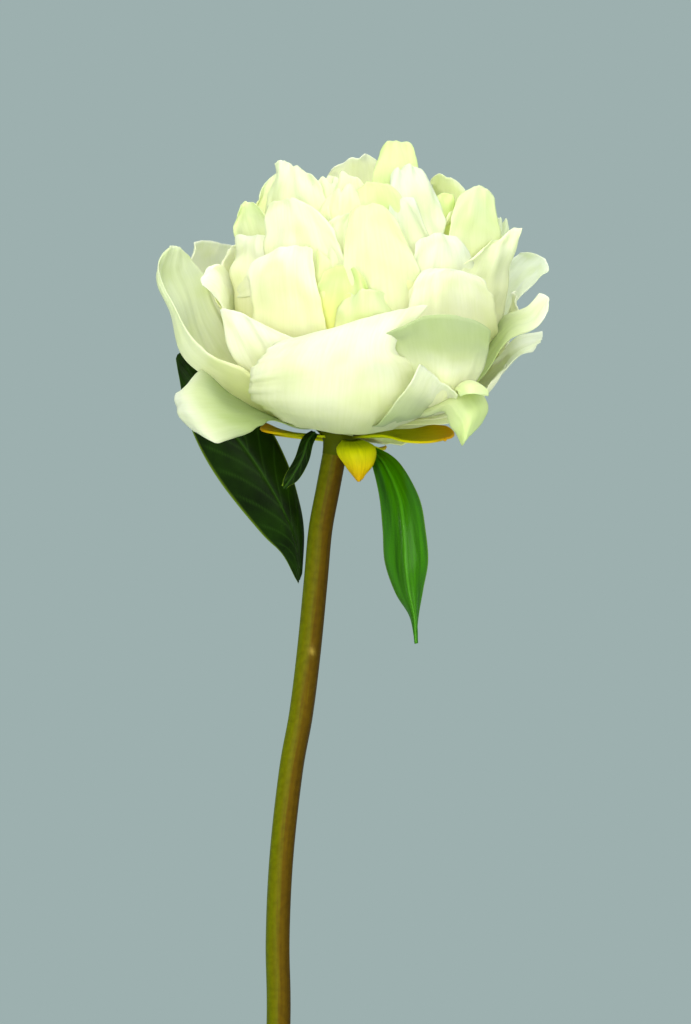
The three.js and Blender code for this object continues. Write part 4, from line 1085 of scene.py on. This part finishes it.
# %% Stem
STEM_RADIUS = 3.6
STEM_PATH = [
    (-3, 6.5), (0, 80), (3.6, 140), (5.6, 190), (5.4, 215), (6.5, 240), (9.3, 266),
    (12.3, 283), (14.7, 302), (16.8, 323), (18.2, 338), (20.4, 350),
]                                           # across and up
STEM_TOP = BLOOM_ROOT - 8.8 * BLOOM_AXIS    # just inside the calyx's cup
STEM_POINTS = 160
SCAR = Vector((15.6, -3.6, 302))
SCAR_REACH = (0.8, 2.0, 1.1)
SCAR_HIGH = 0.5
RIBS = 9
RIB_HIGH = 0.06
RIB_TWIST = 0.05                            # radians to the millimetre

path = smooth_curve([(x, 0, z) for x, z in STEM_PATH] + [tuple(STEM_TOP)], np.linspace(0, 1, STEM_POINTS))


def round_tube(name, path, radius):
    """A capped tube along the path, in millimetres."""
    bpy.ops.object.select_all(action="DESELECT")
    bpy.ops.curve.primitive_nurbs_path_add()
    tube = bpy.context.object
    tube.name = name
    tube.data.splines.clear()
    line = tube.data.splines.new("POLY")
    line.points.add(len(path) - 1)
    for point, place in zip(line.points, path):
        point.co = (*(place * MM), 1)
    tube.data.bevel_depth = radius * MM
    tube.data.bevel_resolution = 10
    tube.data.use_fill_caps = True
    bpy.ops.object.convert(target="MESH")
    tube = bpy.context.object
    bpy.ops.object.transform_apply(location=True, rotation=True, scale=True)
    return tube


stem = round_tube("stem_piece", path, STEM_RADIUS)
bpy.ops.object.shade_smooth_by_angle(angle=math.radians(40))

places = np.array([vertex.co for vertex in stem.data.vertices]) / MM
centre_x = np.interp(places[:, 2], path[:, 2], path[:, 0])
scar_share = np.exp(-(((places - np.array(SCAR)) / SCAR_REACH) ** 2).sum(axis=1))
around = np.arctan2(places[:, 1], places[:, 0] - centre_x)
swelling = RIB_HIGH * np.sin(RIBS * around + RIB_TWIST * places[:, 2]) + SCAR_HIGH * scar_share
outward = np.stack([np.cos(around), np.sin(around), np.zeros(len(around))], axis=1)
stem.data.vertices.foreach_set("co", ((places + swelling[:, None] * outward) * MM).ravel())
for name, value in (("side", (np.cos(around) + 1) / 2), ("scar", scar_share)):
    stem.data.attributes.new(name, "FLOAT", "POINT").data.foreach_set("value", value)
lay_uv(stem.data, around * STEM_RADIUS, places[:, 2])
stem.data.materials.clear()
stem.data.materials.append(stem_skin)
print("stem", len(stem.data.vertices), "points")

# %% [markdown]
# The vase is thrown stoneware with a pale celadon glaze. The glaze pools in soft clouds, shines like glass,
# and shows small iron specks of the clay below it. Its patterns read Object coordinates, which are metres
# from the vase's base, because such a glaze runs on over the whole pot without a seam.

# %% Glaze
GLAZE_CLOUDS = 28.0     # to the metre, so one is about 36 mm across
IRON_SPECKS = 900.0     # to the metre, so they are about 1 mm apart

glaze = new_material("celadon_glaze_on_stoneware")
place = add_node(glaze, "TexCoord")
pool = add_node(glaze, "TexNoise", {"Vector": place.outputs["Object"], "Scale": GLAZE_CLOUDS, "Detail": 4.0})
speck = add_node(glaze, "TexNoise", {"Vector": place.outputs["Object"], "Scale": IRON_SPECKS, "Detail": 1.0})
coat = add_node(glaze, "ValToRGB", {"Fac": pool.outputs["Fac"]}, stops=[
    (0.3, "93A6A0"), (0.55, "A9B8B2"), (0.8, "BAC6BF")])
iron = add_node(glaze, "ValToRGB", {"Fac": speck.outputs["Fac"]}, stops=[(0.27, "6E6A58"), (0.33, "FFFFFF")])
tint = add_node(glaze, "Mix", {0: 0.6, 6: coat.outputs["Color"], 7: iron.outputs["Color"]}, **MULTIPLY)
relief = add_node(glaze, "Bump", {"Height": pool.outputs["Fac"], "Strength": 0.2, "Distance": 0.5 * MM})
skin = add_node(glaze, "BsdfPrincipled", {
    "Base Color": tint.outputs[2], "Roughness": 0.3, "IOR": 1.5, "Coat Weight": 0.6, "Coat Roughness": 0.08,
    "Normal": relief.outputs["Normal"]})
add_node(glaze, "OutputMaterial", {"Surface": skin.outputs["BSDF"]})
print("made", glaze.name)

# %% [markdown]
# The vase has a round belly, a long neck and a rolled lip. It is turned from one profile that goes up the
# outside, over the lip and down the inside to the floor, so the wall is the same all the way up.

# %% Vase
VASE_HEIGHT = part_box("vase")[1].z / MM
VASE_BASE = 30
VASE_BELLY = 36
VASE_NECK = 12.2
VASE_LIP = 14.2
VASE_WALL = 3.2
VASE_FLOOR = 6
VASE_SIDE = [
    (VASE_BASE, 1.5), (VASE_BELLY - 2, 22), (VASE_BELLY, 46), (VASE_BELLY - 8, 84), (18, 116),
    (VASE_NECK + 0.8, 142), (VASE_NECK, 160), (VASE_LIP, VASE_HEIGHT - 1),
]                             # radius and height
VASE_RINGS = 48
ROUND_SIDES = 96
FOOT_ROUNDING = 1.5
LIP_ROUNDING = 0.6
VASE_FLOOR_RADIUS = VASE_BASE - VASE_WALL - 2
INSIDE_START = VASE_FLOOR + 3    # above it the inside follows the outside, a wall's thickness in

side = smooth_curve([(r, 0, z) for r, z in VASE_SIDE], np.linspace(0, 1, VASE_RINGS))[:, (0, 2)]
outside = [tuple(point) for point in side]
inside = [(r - VASE_WALL, z) for r, z in reversed(outside) if z > INSIDE_START]
profile = [
    (VASE_BASE - FOOT_ROUNDING, 0), *outside, (VASE_LIP - LIP_ROUNDING, VASE_HEIGHT),
    (VASE_LIP - VASE_WALL + LIP_ROUNDING, VASE_HEIGHT), *inside, (VASE_FLOOR_RADIUS, VASE_FLOOR)]
vase = turned_shell("vase_piece", profile, ROUND_SIDES)
bpy.ops.object.shade_smooth_by_angle(angle=math.radians(35))
vase.data.materials.append(glaze)
print("vase", [round(c / MM, 1) for c in vase.dimensions])

# %% [markdown]
# Clear water fills the vase to its level, and its surface climbs a little at the wall. It is turned from
# the vase's own inside, a small gap in. A tube that is as much thicker than the stem then cuts a plain hole
# for it, so that water and stem don't share any space.

# %% Water
WATER_GAP = 0.3
MENISCUS = [(0, 0), (0.5, 0.4), (1.6, 0.7)]    # how far in from the wall, and how far down

water_stuff = new_material("clear_water")
skin = add_node(water_stuff, "BsdfPrincipled", {
    "Base Color": linear("EEF6F5"), "Roughness": 0.02, "IOR": 1.333, "Transmission Weight": 1.0})
add_node(water_stuff, "OutputMaterial", {"Surface": skin.outputs["BSDF"]})

WATER_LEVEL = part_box("water")[1].z / MM
wet = [(r - VASE_WALL - WATER_GAP, z) for r, z in outside if INSIDE_START < z < WATER_LEVEL - 2]
brim = float(np.interp(WATER_LEVEL, side[:, 1], side[:, 0])) - VASE_WALL - WATER_GAP
surface = [(brim - inward, WATER_LEVEL - down) for inward, down in MENISCUS]
foot = (VASE_FLOOR_RADIUS - WATER_GAP, VASE_FLOOR + WATER_GAP)
water = turned_shell("water_piece", [foot, *wet, *surface], ROUND_SIDES)
hole = round_tube("stem_hole", path, STEM_RADIUS + WATER_GAP)
cut = water.modifiers.new("hole for the stem", "BOOLEAN")
cut.object = hole
bpy.context.view_layer.objects.active = water
bpy.ops.object.modifier_apply(modifier=cut.name)
bpy.data.objects.remove(hole)
water.select_set(True)
bpy.ops.object.shade_smooth_by_angle(angle=math.radians(35))
water.data.materials.append(water_stuff)
print("water", [round(c / MM, 1) for c in water.dimensions])

# %% [markdown]
# The floor is plain and pale and the light soft, as in a small studio. The ground behind the flower is the
# photo's own grey-green, which the world gives from every side, and that also fills the shadows.

# %% Floor
STAGE_RADIUS = 0.9

bpy.ops.object.select_all(action="DESELECT")
bpy.ops.mesh.primitive_circle_add(vertices=ROUND_SIDES, radius=STAGE_RADIUS, fill_type="NGON")
floor = bpy.context.object
floor.name = "floor"
paper = new_material("matte_backdrop_paper")
place = add_node(paper, "TexCoord")
tooth = add_node(paper, "TexNoise", {"Vector": place.outputs["Object"], "Scale": 400.0, "Detail": 2.0})
relief = add_node(paper, "Bump", {"Height": tooth.outputs["Fac"], "Strength": 0.1, "Distance": 0.2 * MM})
skin = add_node(paper, "BsdfPrincipled", {
    "Base Color": linear("B4BEBB"), "Roughness": 0.9, "Normal": relief.outputs["Normal"]})
add_node(paper, "OutputMaterial", {"Surface": skin.outputs["BSDF"]})
floor.data.materials.append(paper)
print("floor", [round(c, 2) for c in floor.dimensions])

# %% Light
GROUND = "9DB0AF"
LAMP_WHITE = "FFFBF6"
LIGHT_AIM = 0.04          # metres above the bloom's root
LIGHTS = {                # place and size in metres, and power in watts
    "key": ((-0.35, -0.9, 1.3), 0.8, 13.5),
    "fill": ((0.9, -0.9, 0.7), 1.2, 12),
    "front": ((-0.3, -1.6, 0.25), 1.2, 22),
    "top": ((0.1, 0.4, 1.3), 1.0, 14),
}

world = bpy.data.worlds.new("studio")
bpy.context.scene.world = world
world.use_nodes = True
backdrop = world.node_tree.nodes["Background"]
backdrop.inputs["Color"].default_value = linear(GROUND)
backdrop.inputs["Strength"].default_value = 1.0

for name, (place, size, power) in LIGHTS.items():
    toward_bloom = BLOOM_ROOT * MM + Vector((0, 0, LIGHT_AIM)) - Vector(place)
    aim = toward_bloom.to_track_quat("-Z", "Y").to_euler()
    bpy.ops.object.light_add(type="AREA", location=place, rotation=aim)
    lamp = bpy.context.object
    lamp.name = name
    lamp.data.size = size
    lamp.data.energy = power
    lamp.data.color = linear(LAMP_WHITE)[:3]
bpy.context.scene.view_settings.view_transform = "Standard"
print("lights", sorted(LIGHTS))

# %% [markdown]
# Last, every piece rides on the vase's body and stands for its CAD node, which is hidden.

# %% Join the pieces to the frame
PIECES = [
    (vase, "vase", "glaze"), (water, "water", "water"), (stem, "stem", "stem"), (calyx, "calyx", "sepal"),
    (guard_petals, "bloom", "petal"), (inner_petals, "bloom", "petal"), (far_petals, "bloom", "petal"),
    (heart_petals, "bloom", "petal"), (pods, "bloom", "petal"),
    (leaves["leaf_left"], "leaf_left", "leaf_dark"),
    (leaves["leaf_right"], "leaf_right", "leaf_bright"), (leaves["leaf_small"], "leaf_small", "leaf_dark"),
]
for piece, node_name, slot_name in PIECES:
    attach(piece, "root")
    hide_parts(node_name)
